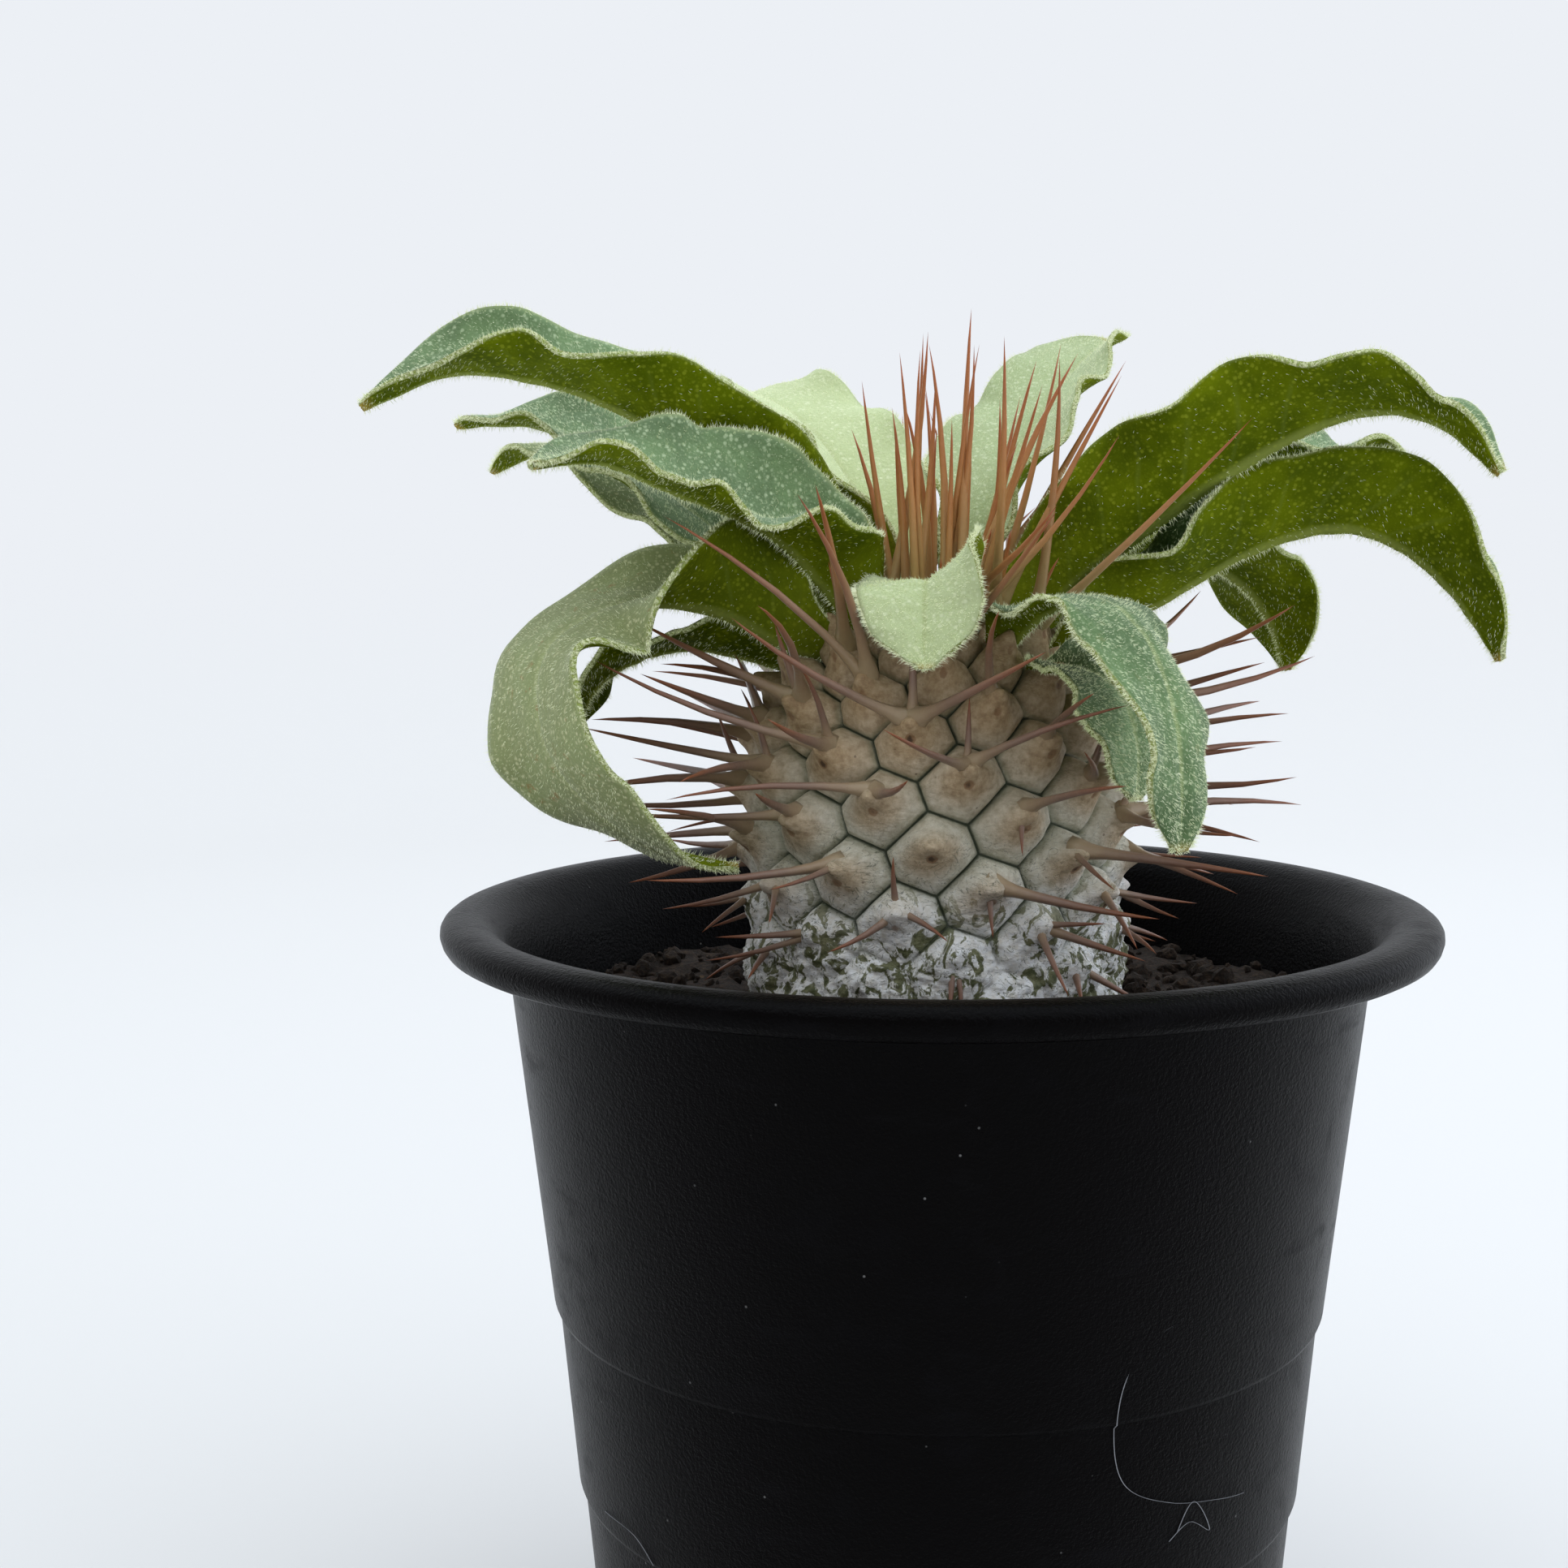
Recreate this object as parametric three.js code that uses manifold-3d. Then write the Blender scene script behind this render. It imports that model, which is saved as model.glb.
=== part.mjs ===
// Potted halfmens (Pachypodium namaquanum), a young plant in a round nursery pot.
// Millimetres, +Z up. The origin is the centre of the pot's underside.
// Heights of the plant are given above the pot's rim, on whose plane it was measured.
import * as THREE from 'three';
import { mergeVertices } from 'three/addons/utils/BufferGeometryUtils.js';
import Module from 'manifold-3d';

const wasm = await Module();
wasm.setup();

// Driving dimensions of the pot
const potHeight = 95;
const footRadius = 35.6;
const wallSlope = 0.09;
const wallThickness = 1.3;
const floorThickness = 1.8;
const stepHeights = [33, 53];
const stepDepth = 0.5;
const drainHoles = 8;
const drainRadius = 2.5;
const drainRing = 22;
const potFacets = 40;
// The rim's section as [radius, height above the rim], from under its edge over the top to the inner wall
const rimProfile = [
  [46.2, -1.9], [50, -2], [50.8, -3.2], [51.9, -3.1], [52.5, -1.8], [52.2, -0.8], [51.4, -0.2], [50, 0],
  [48.2, -0.3], [46.7, -1.4], [45.4, -2.9],
];

// Driving dimensions of the soil and of the stem, with heights above the rim
const soilLevel = -11.5;
const clearance = 0.3;
const rootTip = -49;
const stemSections = [
  [-18, 19.4], [-11.5, 19.6], [-5, 19.2], [1, 18.4], [7, 18.1],
  [13, 17.6], [19, 16.4], [24, 14], [27.5, 10.4], [29.5, 5.5],
];
const crownHeight = 31;
const soilFacets = 40;
const holeRadius = 20.7;

// Tubercles stand in opposite pairs; each pair sits lower than the last and turned from it
const pairTurn = 68.75;
const pairDrop = 0.88;
const firstPair = { azimuth: 279.5, height: 15.4 };
const meanRadius = 18.2;
const tubercleRadius = 20.5;
const tubercleRise = 3.7;
const cellDrop = 1;
const lowestCell = -29;
const highestCell = 29;
// Turn and pairs from a tubercle to its upper neighbours, and to the top corner between them
const above = [8 * pairTurn - 540, 8];
const aboveLeft = [5 * pairTurn - 360, 5];
const topCorner = [-1.4, 4.85];

// Spines: two long ones spread from each tubercle, by pair from the lowest up to the crown
const lowestPair = -23;
const highestPair = 34;
const spineRises = [-22, -14, -4, 6, 18, 34, 50, 66, 80];
const spineLengths = [6, 9, 17, 18, 20, 24, 27, 28, 26];
const spineSpread = 45;
const spineRadius = 0.65;
const rootSink = 1.5;
const leafClearance = 1.7;
const dodges = [
  [0, 0], [9, 0], [-9, 0], [0, 9], [0, -9], [18, 0], [-18, 0], [0, 18], [27, 9], [-27, 9], [36, 0], [-36, 0],
];
const crownSpines = 34;
const crownRise = [60, 86];
const crownLength = [22, 34];

// Each leaf: its bearing seen from above, its midrib as [out, height, side] points, how far its
// left and right halves fold up from level, in degrees, and the waves along its margins
const leafThickness = 0.7;
const baseThickness = 1.6;
const baseFold = 0.75; // the halves lie flatter at the base, by this share of their fold
const widthProfile = [0.25, 0.72, 0.95, 1, 0.97, 0.88, 0.66, 0.08];
const leafSteps = 15;
const leafStrips = 2;
const leaves = [
  { azimuth: 184, halfWidth: 10, waves: 4, wavePhase: 40,
    rib: [[8, 28], [14, 35], [20, 42.5], [27, 49], [35, 53.5], [43, 56], [51, 56.5], [60, 53]],
    left: [95, 87, 85, 50, 28, 18, 8, 10], right: [80, 70, 54, 40, 38, 50, 50, 40] },
  { azimuth: 212, halfWidth: 10, waves: 4, wavePhase: 200,
    rib: [[9.5, 29.5], [13.5, 34], [18, 38.5], [24, 41.5], [31, 44], [38, 46.5], [45, 46]],
    left: [60, 60, 15, -5, -5, 5, 0], right: [100, 88, 76, 65, 50, 25, 0] },
  { azimuth: 204, halfWidth: 10.5, waves: 3, wavePhase: 90,
    rib: [
      [11, 26.5], [17, 28], [23, 31], [30, 32.5], [37, 31.5], [43, 27, 2], [43.5, 19, 5], [39, 12.5, 6],
      [32, 8, 7], [25, 6, 8],
    ],
    left: [60, 75, 85, 25, -15, -15, -15, -15, -10, 0], right: [60, 60, 48, 22, 8, 10, 15, 15, 10, 0] },
  { azimuth: 162, halfWidth: 8.5, waves: 4, wavePhase: 0,
    rib: [[10, 27], [16, 32], [23, 38], [31, 44], [39, 49], [48, 52.3], [57.5, 52.5]],
    left: [70, 35, 5, -5, 0, 5, 10], right: [80, 60, 50, 35, 30, 30, 10] },
  { azimuth: 146, halfWidth: 8.5, waves: 4, wavePhase: 120,
    rib: [[12, 25.1], [18, 30.3], [26, 37], [35, 43], [45, 48], [55, 50.5], [66, 48]],
    left: [60, 3, -6, -10, -10, 0, 0], right: [80, 40, 20, 10, 10, 20, 20] },
  { azimuth: 177, halfWidth: 8.5, waves: 3, wavePhase: 60,
    rib: [[13.5, 24.3], [19, 26.2], [26, 27.5], [32, 26.3], [37, 23], [40, 17]],
    left: [60, 35, 15, 10, 10, 0], right: [45, 10, 5, 5, 0, 0] },
  { azimuth: 268, halfWidth: 7, waves: 2, wavePhase: 0,
    rib: [[10, 28], [12, 31], [15, 33.5], [19, 34.5], [22, 33], [24, 30], [25.5, 26.5]],
    left: [70, 60, 45, 40, 40, 20, 0], right: [70, 45, 12, -8, -8, 0, 0] },
  { azimuth: 305, halfWidth: 8, waves: 3, wavePhase: 0,
    rib: [[12, 27], [18, 31], [24, 33], [30, 32], [35, 28], [38, 22], [39, 16], [39, 10]],
    left: [60, 20, -10, -30, -35, -30, -20, 0], right: [80, 10, -5, 0, 10, 20, 20, 0] },
  { azimuth: 320, halfWidth: 7.5, waves: 2.5, wavePhase: 90,
    rib: [[14, 24.5], [18.5, 25.5], [22.5, 24.5], [25, 21.5], [26, 17.5], [26, 13]],
    left: [60, 40, 20, 20, 10, 0], right: [40, 10, 0, 0, 0, 0] },
  { azimuth: 344, halfWidth: 10.5, waves: 5, wavePhase: -144,
    rib: [[8, 28], [15, 34], [22, 39], [30, 44.5], [38, 49], [45, 50.8], [51, 49.3], [56.5, 44.5]],
    left: [75, 72, 58, 45, 33, 20, 22, 30], right: [70, 85, 75, 58, 43, 25, 18, 10] },
  { azimuth: 356, halfWidth: 10, waves: 4, wavePhase: 180,
    rib: [[12.8, 25], [19, 29.3], [26, 33.6], [33, 37.4], [41, 39.5], [48, 37.5], [54, 32], [58, 26]],
    left: [70, 50, 40, 40, 45, 38, 45, 20], right: [70, 48, 33, 44, 59, 50, 30, 10] },
  { azimuth: 18, halfWidth: 9, waves: 4, wavePhase: 30,
    rib: [[9, 29], [16, 34], [24, 39], [33, 44], [42, 47], [50, 47], [57, 43]],
    left: [70, 60, 50, 40, 30, 20, 10], right: [70, 50, 40, 30, 10, 10, 10] },
  { azimuth: 38, halfWidth: 9.5, waves: 4, wavePhase: 100,
    rib: [[12, 26], [20, 30], [28, 34], [37, 36], [45, 34], [51, 29], [54, 23]],
    left: [70, 50, 30, 20, 10, 10, 10], right: [70, 60, 50, 30, 20, 10, 10] },
  { azimuth: 62, halfWidth: 9, waves: 4, wavePhase: 60,
    rib: [[6.5, 30], [11, 38], [16, 45], [23, 50.5], [30, 55.5], [38, 60], [46, 63]],
    left: [85, 72, 34, 14, 10, 20, 20], right: [60, 45, 35, 30, 30, 30, 20] },
  { azimuth: 127, halfWidth: 9, waves: 4, wavePhase: 150,
    rib: [[6.5, 30], [10, 37.5], [15, 44.5], [22, 50.5], [30, 54.5], [38, 56], [45, 54]],
    left: [80, 60, 35, 20, 15, 15, 10], right: [85, 60, 30, 20, 20, 20, 10] },
];
const waveAngle = 7;
const cutGrid = 0.01;

const degrees = Math.PI / 180;
const { smoothstep } = THREE.MathUtils;
const mix = (a, b, t) => a + (b - a) * t;
const seeded = (n) => {
  const x = Math.sin(n * 12.9898) * 43758.5453;
  return x - Math.floor(x);
};

// Values at t = 0 to 1 along a list, on a smooth curve through its entries
function along(list, t) {
  const x = Math.min(Math.max(t, 0), 1) * (list.length - 1);
  const i = Math.min(Math.floor(x), list.length - 2);
  const u = x - i;
  const [a, b, c, d] = [-1, 0, 1, 2].map((k) => list[Math.min(Math.max(i + k, 0), list.length - 1)]);
  return b + 0.5 * u * (c - a + u * (2 * a - 5 * b + 4 * c - d + u * (3 * (b - c) + d - a)));
}

function polar(radius, azimuth, height) {
  const angle = azimuth * degrees;
  return new THREE.Vector3(radius * Math.cos(angle), radius * Math.sin(angle), height);
}

function ring(facets, pointAt) {
  return Array.from({ length: facets }, (_, j) => pointAt(360 * j / facets));
}

// A closed skin over rings of equal length, capped at both ends with a centre point.
// From the column "turned" on, the quads are split along their other diagonal.
function skin(rings, first, last, turned = Infinity) {
  const points = [...rings.flat(), first, last].flatMap((p) => [p.x, p.y, p.z]);
  const n = rings[0].length;
  const end = (rings.length - 1) * n;
  const faces = [];
  for (let j = 0; j < n; j++) {
    const next = (j + 1) % n;
    faces.push(n * rings.length, next, j);
    for (let i = 0; i < rings.length - 1; i++) {
      const [a, b, c, d] = [i * n + j, i * n + next, (i + 1) * n + next, (i + 1) * n + j];
      faces.push(...(j < turned ? [a, b, c, a, c, d] : [a, b, d, b, c, d]));
    }
    faces.push(end + j, end + next, n * rings.length + 1);
  }
  const geometry = new THREE.BufferGeometry();
  geometry.setAttribute('position', new THREE.Float32BufferAttribute(points, 3));
  geometry.setIndex(faces);
  return geometry;
}

function toSolid(geometry) {
  const bare = geometry.clone();
  bare.deleteAttribute('normal');
  bare.deleteAttribute('uv');
  const merged = mergeVertices(bare, 1e-4);
  return new wasm.Manifold(new wasm.Mesh({
    numProp: 3,
    vertProperties: new Float32Array(merged.attributes.position.array),
    triVerts: new Uint32Array(merged.index.array),
  }));
}

// A cut leaves slivers: its points are set on a fine grid, and faces that fall flat are dropped
function toGeometry(solid) {
  const { vertProperties, triVerts } = solid.getMesh();
  const geometry = new THREE.BufferGeometry();
  const snapped = vertProperties.map((x) => Math.round(x / cutGrid) * cutGrid);
  geometry.setAttribute('position', new THREE.BufferAttribute(snapped, 3));
  geometry.setIndex(new THREE.BufferAttribute(triVerts, 1));
  const merged = mergeVertices(geometry, cutGrid / 4);
  const kept = [];
  for (let i = 0; i < merged.index.count; i += 3) {
    const face = [0, 1, 2].map((k) => merged.index.getX(i + k));
    if (new Set(face).size === 3) kept.push(...face);
  }
  merged.setIndex(kept);
  return merged;
}

function largestPiece(solid) {
  return solid.decompose().reduce((best, piece) => (piece.volume() > best.volume() ? piece : best));
}

// Pot: a tapered wall with two mould steps, a rolled rim and a floor with drain holes
const wallAt = (z) => footRadius + wallSlope * z + stepDepth * stepHeights.filter((h) => z > h).length;

function potGeometry() {
  const steps = stepHeights.flatMap((h) => [[wallAt(h), h], [wallAt(h + stepDepth), h + stepDepth]]);
  const foot = [[0, 0], [footRadius - 1.2, 0], [wallAt(1.2), 1.2]];
  const outside = [...foot, ...steps, [wallAt(potHeight - 4), potHeight - 4]];
  const rim = rimProfile.map(([r, z]) => [r, potHeight + z]);
  const inside = [
    [wallAt(potHeight - 6) - wallThickness, potHeight - 6],
    [wallAt(floorThickness) - wallThickness, floorThickness],
    [0, floorThickness],
  ];
  const profile = [...outside, ...rim, ...inside].map(([r, z]) => new THREE.Vector2(r, z));
  let pot = toSolid(new THREE.LatheGeometry(profile, potFacets).rotateX(Math.PI / 2));
  for (let i = 0; i < drainHoles; i++) {
    const drill = new THREE.CylinderGeometry(drainRadius, drainRadius, 3 * floorThickness, 10);
    drill.rotateX(Math.PI / 2).translate(drainRing, 0, 0).rotateZ(2 * Math.PI * i / drainHoles);
    pot = pot.subtract(toSolid(drill));
  }
  return toGeometry(pot);
}

// The stem's smooth outline, with each point's place in the count of tubercle pairs:
// a pair takes less height where the stem is narrower
const outline = [];
for (let i = 0; i <= 240; i++) {
  const [z, r] = [0, 1].map((k) => along(stemSections.map((section) => section[k]), i / 240));
  const last = outline[i - 1] ?? { z, r, pair: 0 };
  outline.push({ z, r, pair: last.pair + Math.hypot(r - last.r, z - last.z) / pairDrop * meanRadius / r });
}
const pairsBelow = outline.find((p) => p.z > firstPair.height).pair;
outline.forEach((p) => { p.pair -= pairsBelow; });

function outlineAt(pair) {
  const i = Math.max(1, outline.findIndex((p) => p.pair >= pair));
  const [a, b] = [outline[i - 1], outline[i]];
  const t = (pair - a.pair) / (b.pair - a.pair);
  const normal = new THREE.Vector2(b.z - a.z, a.r - b.r).normalize();
  return { r: mix(a.r, b.r, t), z: mix(a.z, b.z, t), pair, normal };
}

// Tubercle relief: raised in each cell of the lattice, low in the grooves between cells,
// fading out towards the soil, where the old bark is nearly smooth
function relief(azimuth, place) {
  const near = [];
  for (let n = Math.ceil(place.pair - 10); n <= place.pair + 10; n++) {
    const turn = (((azimuth - firstPair.azimuth - pairTurn * n) % 180) + 270) % 180 - 90;
    const rise = (place.pair - n + cellDrop) * pairDrop;
    near.push(Math.hypot(0.9 * turn * degrees * tubercleRadius, 1.12 * rise));
  }
  near.sort((a, b) => a - b);
  const inside = 1 - near[0] / near[1];
  const age = mix(0.25 * smoothstep(place.z, soilLevel, -8), 1, smoothstep(place.z, -8, 9));
  return age * tubercleRise * inside ** 0.8 * Math.min(1, place.r / 11);
}

function stemPoint(azimuth, pair, raise) {
  const place = outlineAt(pair);
  const lift = relief(azimuth, place) + raise;
  return polar(place.r + place.normal.x * lift, azimuth, place.z + place.normal.y * lift);
}

// The stem's facets fan out from each tubercle to the six corners of its cell. The open edges
// are closed below by the root and above by the crown.
function stemBody(raise) {
  const upperRight = above.map((x, k) => x - topCorner[k]);
  const right = topCorner.map((x, k) => x - aboveLeft[k]);
  const opposite = (corner) => corner.map((x) => -x);
  const corners = [topCorner, opposite(right), opposite(upperRight), opposite(topCorner), right, upperRight];
  const points = [polar(0, 0, rootTip - raise), polar(0, 0, crownHeight + raise)];
  const faces = [];
  const numbers = new Map();
  const numberOf = ([azimuth, pair]) => {
    const key = `${Math.round(100 * azimuth + 7.2e6) % 36000} ${Math.round(100 * pair)}`;
    if (!numbers.has(key)) numbers.set(key, points.push(stemPoint(azimuth, pair, raise)) - 1);
    return numbers.get(key);
  };
  for (let n = lowestCell; n <= highestCell; n++) {
    for (const half of [0, 1]) {
      const centre = [firstPair.azimuth + pairTurn * n + 180 * half, n - cellDrop];
      const around = corners.map((corner) => corner.map((x, k) => centre[k] + x));
      around.forEach((a, i) => {
        const b = around[(i + 1) % 6];
        const middle = (p, q) => p.map((x, k) => (x + q[k]) / 2);
        const [c, ca, ab, bc] = [centre, middle(centre, a), middle(a, b), middle(b, centre)];
        faces.push([c, ca, bc], [ca, a, ab], [ca, ab, bc], [bc, ab, b]);
      });
    }
  }
  const numbered = faces.map((face) => face.map(numberOf));
  const edges = numbered.flatMap((face) => face.map((a, i) => [a, face[(i + 1) % 3]]));
  const known = new Set(edges.map(String));
  for (const [a, b] of edges) {
    if (!known.has(String([b, a]))) numbered.push([b, a, points[a].z < 0 ? 0 : 1]);
  }
  const geometry = new THREE.BufferGeometry().setFromPoints(points);
  geometry.setIndex(numbered.flat());
  return toSolid(geometry);
}

// Leaves
function leafFrame(leaf, t) {
  const outward = polar(1, leaf.azimuth, 0);
  const across = polar(1, leaf.azimuth + 90, 0);
  const ribPoint = (x) => {
    const [out, height, side] = [0, 1, 2].map((k) => along(leaf.rib.map((entry) => entry[k] ?? 0), x));
    return outward.clone().multiplyScalar(out).addScaledVector(across, side).setZ(height);
  };
  const tangent = ribPoint(Math.min(1, t + 0.02)).sub(ribPoint(Math.max(0, t - 0.02))).normalize();
  const side = across.clone().addScaledVector(tangent, -across.dot(tangent)).normalize();
  return { point: ribPoint(t), side, normal: tangent.clone().cross(side) };
}

// A point of the blade: s runs from the left margin, 1, over the midrib, 0, to the right, -1
function bladePoint(leaf, t, s, offset) {
  const { point, side, normal } = leafFrame(leaf, t);
  const width = leaf.halfWidth * along(widthProfile, t) * Math.abs(s);
  const phase = 360 * leaf.waves * t + leaf.wavePhase + (s > 0 ? 70 : 0);
  const wave = waveAngle * Math.sin(phase * degrees);
  const opened = mix(baseFold, 1, smoothstep(t, 0, 0.13));
  const rise = along(s > 0 ? leaf.left : leaf.right, t) * opened * (0.6 + 0.4 * Math.abs(s));
  const fold = s === 0 ? 0 : (rise + wave * s * s) * degrees;
  const sideways = width * Math.cos(fold) - offset * Math.sin(fold);
  return point.addScaledVector(side, s < 0 ? -sideways : sideways)
    .addScaledVector(normal, width * Math.sin(fold) + offset * Math.cos(fold));
}

function leafBody(leaf) {
  const rings = [];
  for (let i = 0; i <= leafSteps; i++) {
    const t = i / leafSteps;
    const half = mix(baseThickness, leafThickness, smoothstep(t, 0, 0.2)) / 2;
    const upper = [];
    const lower = [];
    for (let j = -leafStrips; j <= leafStrips; j++) {
      upper.unshift(bladePoint(leaf, t, j / leafStrips, half));
      lower.push(bladePoint(leaf, t, j / leafStrips, -half));
    }
    rings.push([...upper, ...lower]);
  }
  const middle = (points) => points.reduce(
    (sum, p) => sum.addScaledVector(p, 1 / points.length), new THREE.Vector3());
  return toSolid(skin(rings, middle(rings[0]), middle(rings.at(-1)), 2 * leafStrips + 1));
}

// Spines are turned until they pass every leaf, and one that can't is left off
const leafSamples = leaves.flatMap((leaf) => {
  const points = [];
  for (let i = 1; i <= 50; i++) {
    for (let j = -4; j <= 4; j++) points.push(bladePoint(leaf, i / 50, j / 4, 0));
  }
  return points;
});

function passesLeaves(start, tip) {
  const line = new THREE.Line3(start, tip);
  const nearest = new THREE.Vector3();
  return leafSamples.every((p) => line.closestPointToPoint(p, true, nearest).distanceTo(p) > leafClearance);
}

function spineSolid(start, tip) {
  const axis = tip.clone().sub(start);
  const cone = new THREE.ConeGeometry(spineRadius, axis.length(), 3);
  cone.translate(0, axis.length() / 2, 0);
  const turn = new THREE.Quaternion().setFromUnitVectors(new THREE.Vector3(0, 1, 0), axis.normalize());
  cone.applyQuaternion(turn);
  return toSolid(cone.translate(start.x, start.y, start.z));
}

// The first of the dodged spines from the start that passes, as a list of one or none
function spineFrom(start, bearing, rise, length) {
  for (const [turn, lift] of dodges) {
    const elevation = (rise + lift) * degrees;
    const tip = polar(length * Math.cos(elevation), bearing + turn, length * Math.sin(elevation)).add(start);
    if (passesLeaves(start, tip)) return [spineSolid(start, tip)];
  }
  return [];
}

function spinesOfPair(n) {
  const t = (n - lowestPair) / (highestPair - lowestPair);
  return [[0, -1], [0, 1], [1, -1], [1, 1]].flatMap(([half, side]) => {
    const azimuth = firstPair.azimuth + pairTurn * n + 180 * half;
    const draw = 4 * n + 2 * half + side + 300;
    const bearing = azimuth + side * spineSpread * mix(0.8, 1.2, seeded(draw));
    const rise = along(spineRises, t) + mix(-9, 9, seeded(draw + 500));
    const length = rootSink + along(spineLengths, t) * mix(0.85, 1.15, seeded(draw + 900));
    return spineFrom(stemPoint(azimuth, n, -rootSink), bearing, rise, length);
  });
}

function spineOfCrown(i) {
  const start = polar(6 * Math.sqrt(i / crownSpines), 137.5 * i, crownHeight - 4);
  const rise = mix(crownRise[1], crownRise[0], i / crownSpines) + mix(-5, 5, seeded(i + 40));
  return spineFrom(start, 137.5 * i, rise, mix(...crownLength, seeded(i + 80)));
}

function stemGeometry() {
  let stem = stemBody(0);
  for (let n = lowestPair; n <= highestPair; n++) {
    for (const spine of spinesOfPair(n)) stem = stem.add(spine);
  }
  for (let i = 1; i <= crownSpines; i++) {
    for (const spine of spineOfCrown(i)) stem = stem.add(spine);
  }
  return toGeometry(largestPiece(stem));
}

// Soil fills the pot up to its level, with a plain hole where the stem stands
function soilGeometry() {
  const bottom = floorThickness + clearance - potHeight;
  const top = -6;
  const innerWall = (z) => -wallThickness - 2 * clearance
    + mix(wallAt(floorThickness), wallAt(potHeight + top), (z - bottom) / (top - bottom));
  const crumb = (r, azimuth) => soilLevel + 0.5 * Math.sin(2.1 * r + 3 * Math.cos(5 * azimuth * degrees))
    + 0.8 * (seeded(r * 7 + azimuth) - 0.5);
  const hole = [-20, -12.5].map((z) => ring(soilFacets, (azimuth) => polar(holeRadius, azimuth, z)));
  const surface = [];
  for (let r = 22; r < innerWall(soilLevel); r += 3.4) {
    surface.push(ring(soilFacets, (azimuth) => polar(r, azimuth, crumb(r, azimuth))));
  }
  const wall = [soilLevel - 0.5, bottom].map(
    (z) => ring(soilFacets, (azimuth) => polar(innerWall(z), azimuth, z)));
  const rings = [...hole, ...surface, ...wall].reverse();
  return skin(rings, polar(0, 0, bottom), polar(0, 0, rootTip - 5 * clearance));
}

function named(name, geometry, color, roughness) {
  const flat = geometry.toNonIndexed();
  flat.computeVertexNormals();
  const material = new THREE.MeshStandardMaterial({ color, roughness, metalness: 0, flatShading: true });
  const mesh = new THREE.Mesh(flat, material);
  mesh.name = name;
  return mesh;
}

const plant = new THREE.Group();
plant.position.z = potHeight;
plant.add(named('soil', soilGeometry(), 0x33261d, 0.95));
plant.add(named('stem', stemGeometry(), 0xb3a894, 0.8));
const crownCut = stemBody(clearance);
leaves.forEach((leaf, i) => {
  const blade = largestPiece(leafBody(leaf).subtract(crownCut));
  plant.add(named(`leaf_${String(i + 1).padStart(2, '0')}`, toGeometry(blade), 0x5d7f5a, 0.75));
});

const halfmens = new THREE.Group();
halfmens.add(named('pot', potGeometry(), 0x16171a, 0.55), plant);
export default halfmens;
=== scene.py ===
import bmesh
import bpy
import math
from mathutils import Matrix, Vector, noise


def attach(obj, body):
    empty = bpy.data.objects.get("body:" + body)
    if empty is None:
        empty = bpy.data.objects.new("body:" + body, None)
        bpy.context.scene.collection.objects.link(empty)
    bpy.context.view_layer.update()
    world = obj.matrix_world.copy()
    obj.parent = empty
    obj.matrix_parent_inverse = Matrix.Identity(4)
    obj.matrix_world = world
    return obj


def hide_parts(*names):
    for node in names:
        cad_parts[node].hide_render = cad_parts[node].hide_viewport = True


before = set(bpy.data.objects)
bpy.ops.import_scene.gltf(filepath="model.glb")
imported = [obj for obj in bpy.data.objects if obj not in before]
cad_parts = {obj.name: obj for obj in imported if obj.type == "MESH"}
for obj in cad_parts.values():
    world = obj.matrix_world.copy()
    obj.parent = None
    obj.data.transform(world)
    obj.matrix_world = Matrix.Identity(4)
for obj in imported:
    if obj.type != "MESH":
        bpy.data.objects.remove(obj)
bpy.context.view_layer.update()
print("frame loaded")

mm = 0.001
potHeight = 95  # the rim plane; heights of the plant are counted from it, in mm


# Small maths and mesh steps shared by the pieces

def mix(a, b, t):
    return a + (b - a) * t


def smooth(x, low, high):
    t = min(max((x - low) / (high - low), 0), 1)
    return t * t * (3 - 2 * t)


def seeded(n):  # a steady stand-in for a random draw, from 0 to 1
    x = math.sin(n * 12.9898) * 43758.5453
    return x - math.floor(x)


def along(values, t):  # a smooth curve through the values, for t from 0 to 1
    x = min(max(t, 0), 1) * (len(values) - 1)
    i = min(int(x), len(values) - 2)
    u = x - i
    a, b, c, d = (values[min(max(i + k, 0), len(values) - 1)] for k in (-1, 0, 1, 2))
    return b + 0.5 * u * (c - a + u * (2 * a - 5 * b + 4 * c - d + u * (3 * (b - c) + d - a)))


def polar(radius, azimuth, height):
    angle = math.radians(azimuth)
    return Vector((radius * math.cos(angle), radius * math.sin(angle), height))


def toFrame(point):  # from mm above the rim to metres in the part's frame
    return Vector((point.x * mm, point.y * mm, (point.z + potHeight) * mm))


def meshOf(name, bm):
    mesh = bpy.data.meshes.new(name)
    bm.to_mesh(mesh)
    bm.free()
    return mesh


def addObject(name, data):
    made = bpy.data.objects.new(name, data)
    bpy.context.scene.collection.objects.link(made)
    return made


def makePiece(name, bm, nodes, materials, shade=True):
    mesh = meshOf(name, bm)
    if shade:
        mesh.shade_smooth()
    for material in materials:
        mesh.materials.append(material)
    piece = addObject(name, mesh)
    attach(piece, "root")
    if nodes:
        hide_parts(*nodes)
    return piece


def growEdges(bm, edges):  # extrudes edges and gives the new edges and vertices
    grown = bmesh.ops.extrude_edge_only(bm, edges=edges)["geom"]
    newEdges = [g for g in grown if isinstance(g, bmesh.types.BMEdge)]
    newVerts = [g for g in grown if isinstance(g, bmesh.types.BMVert)]
    return newEdges, newVerts


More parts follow.
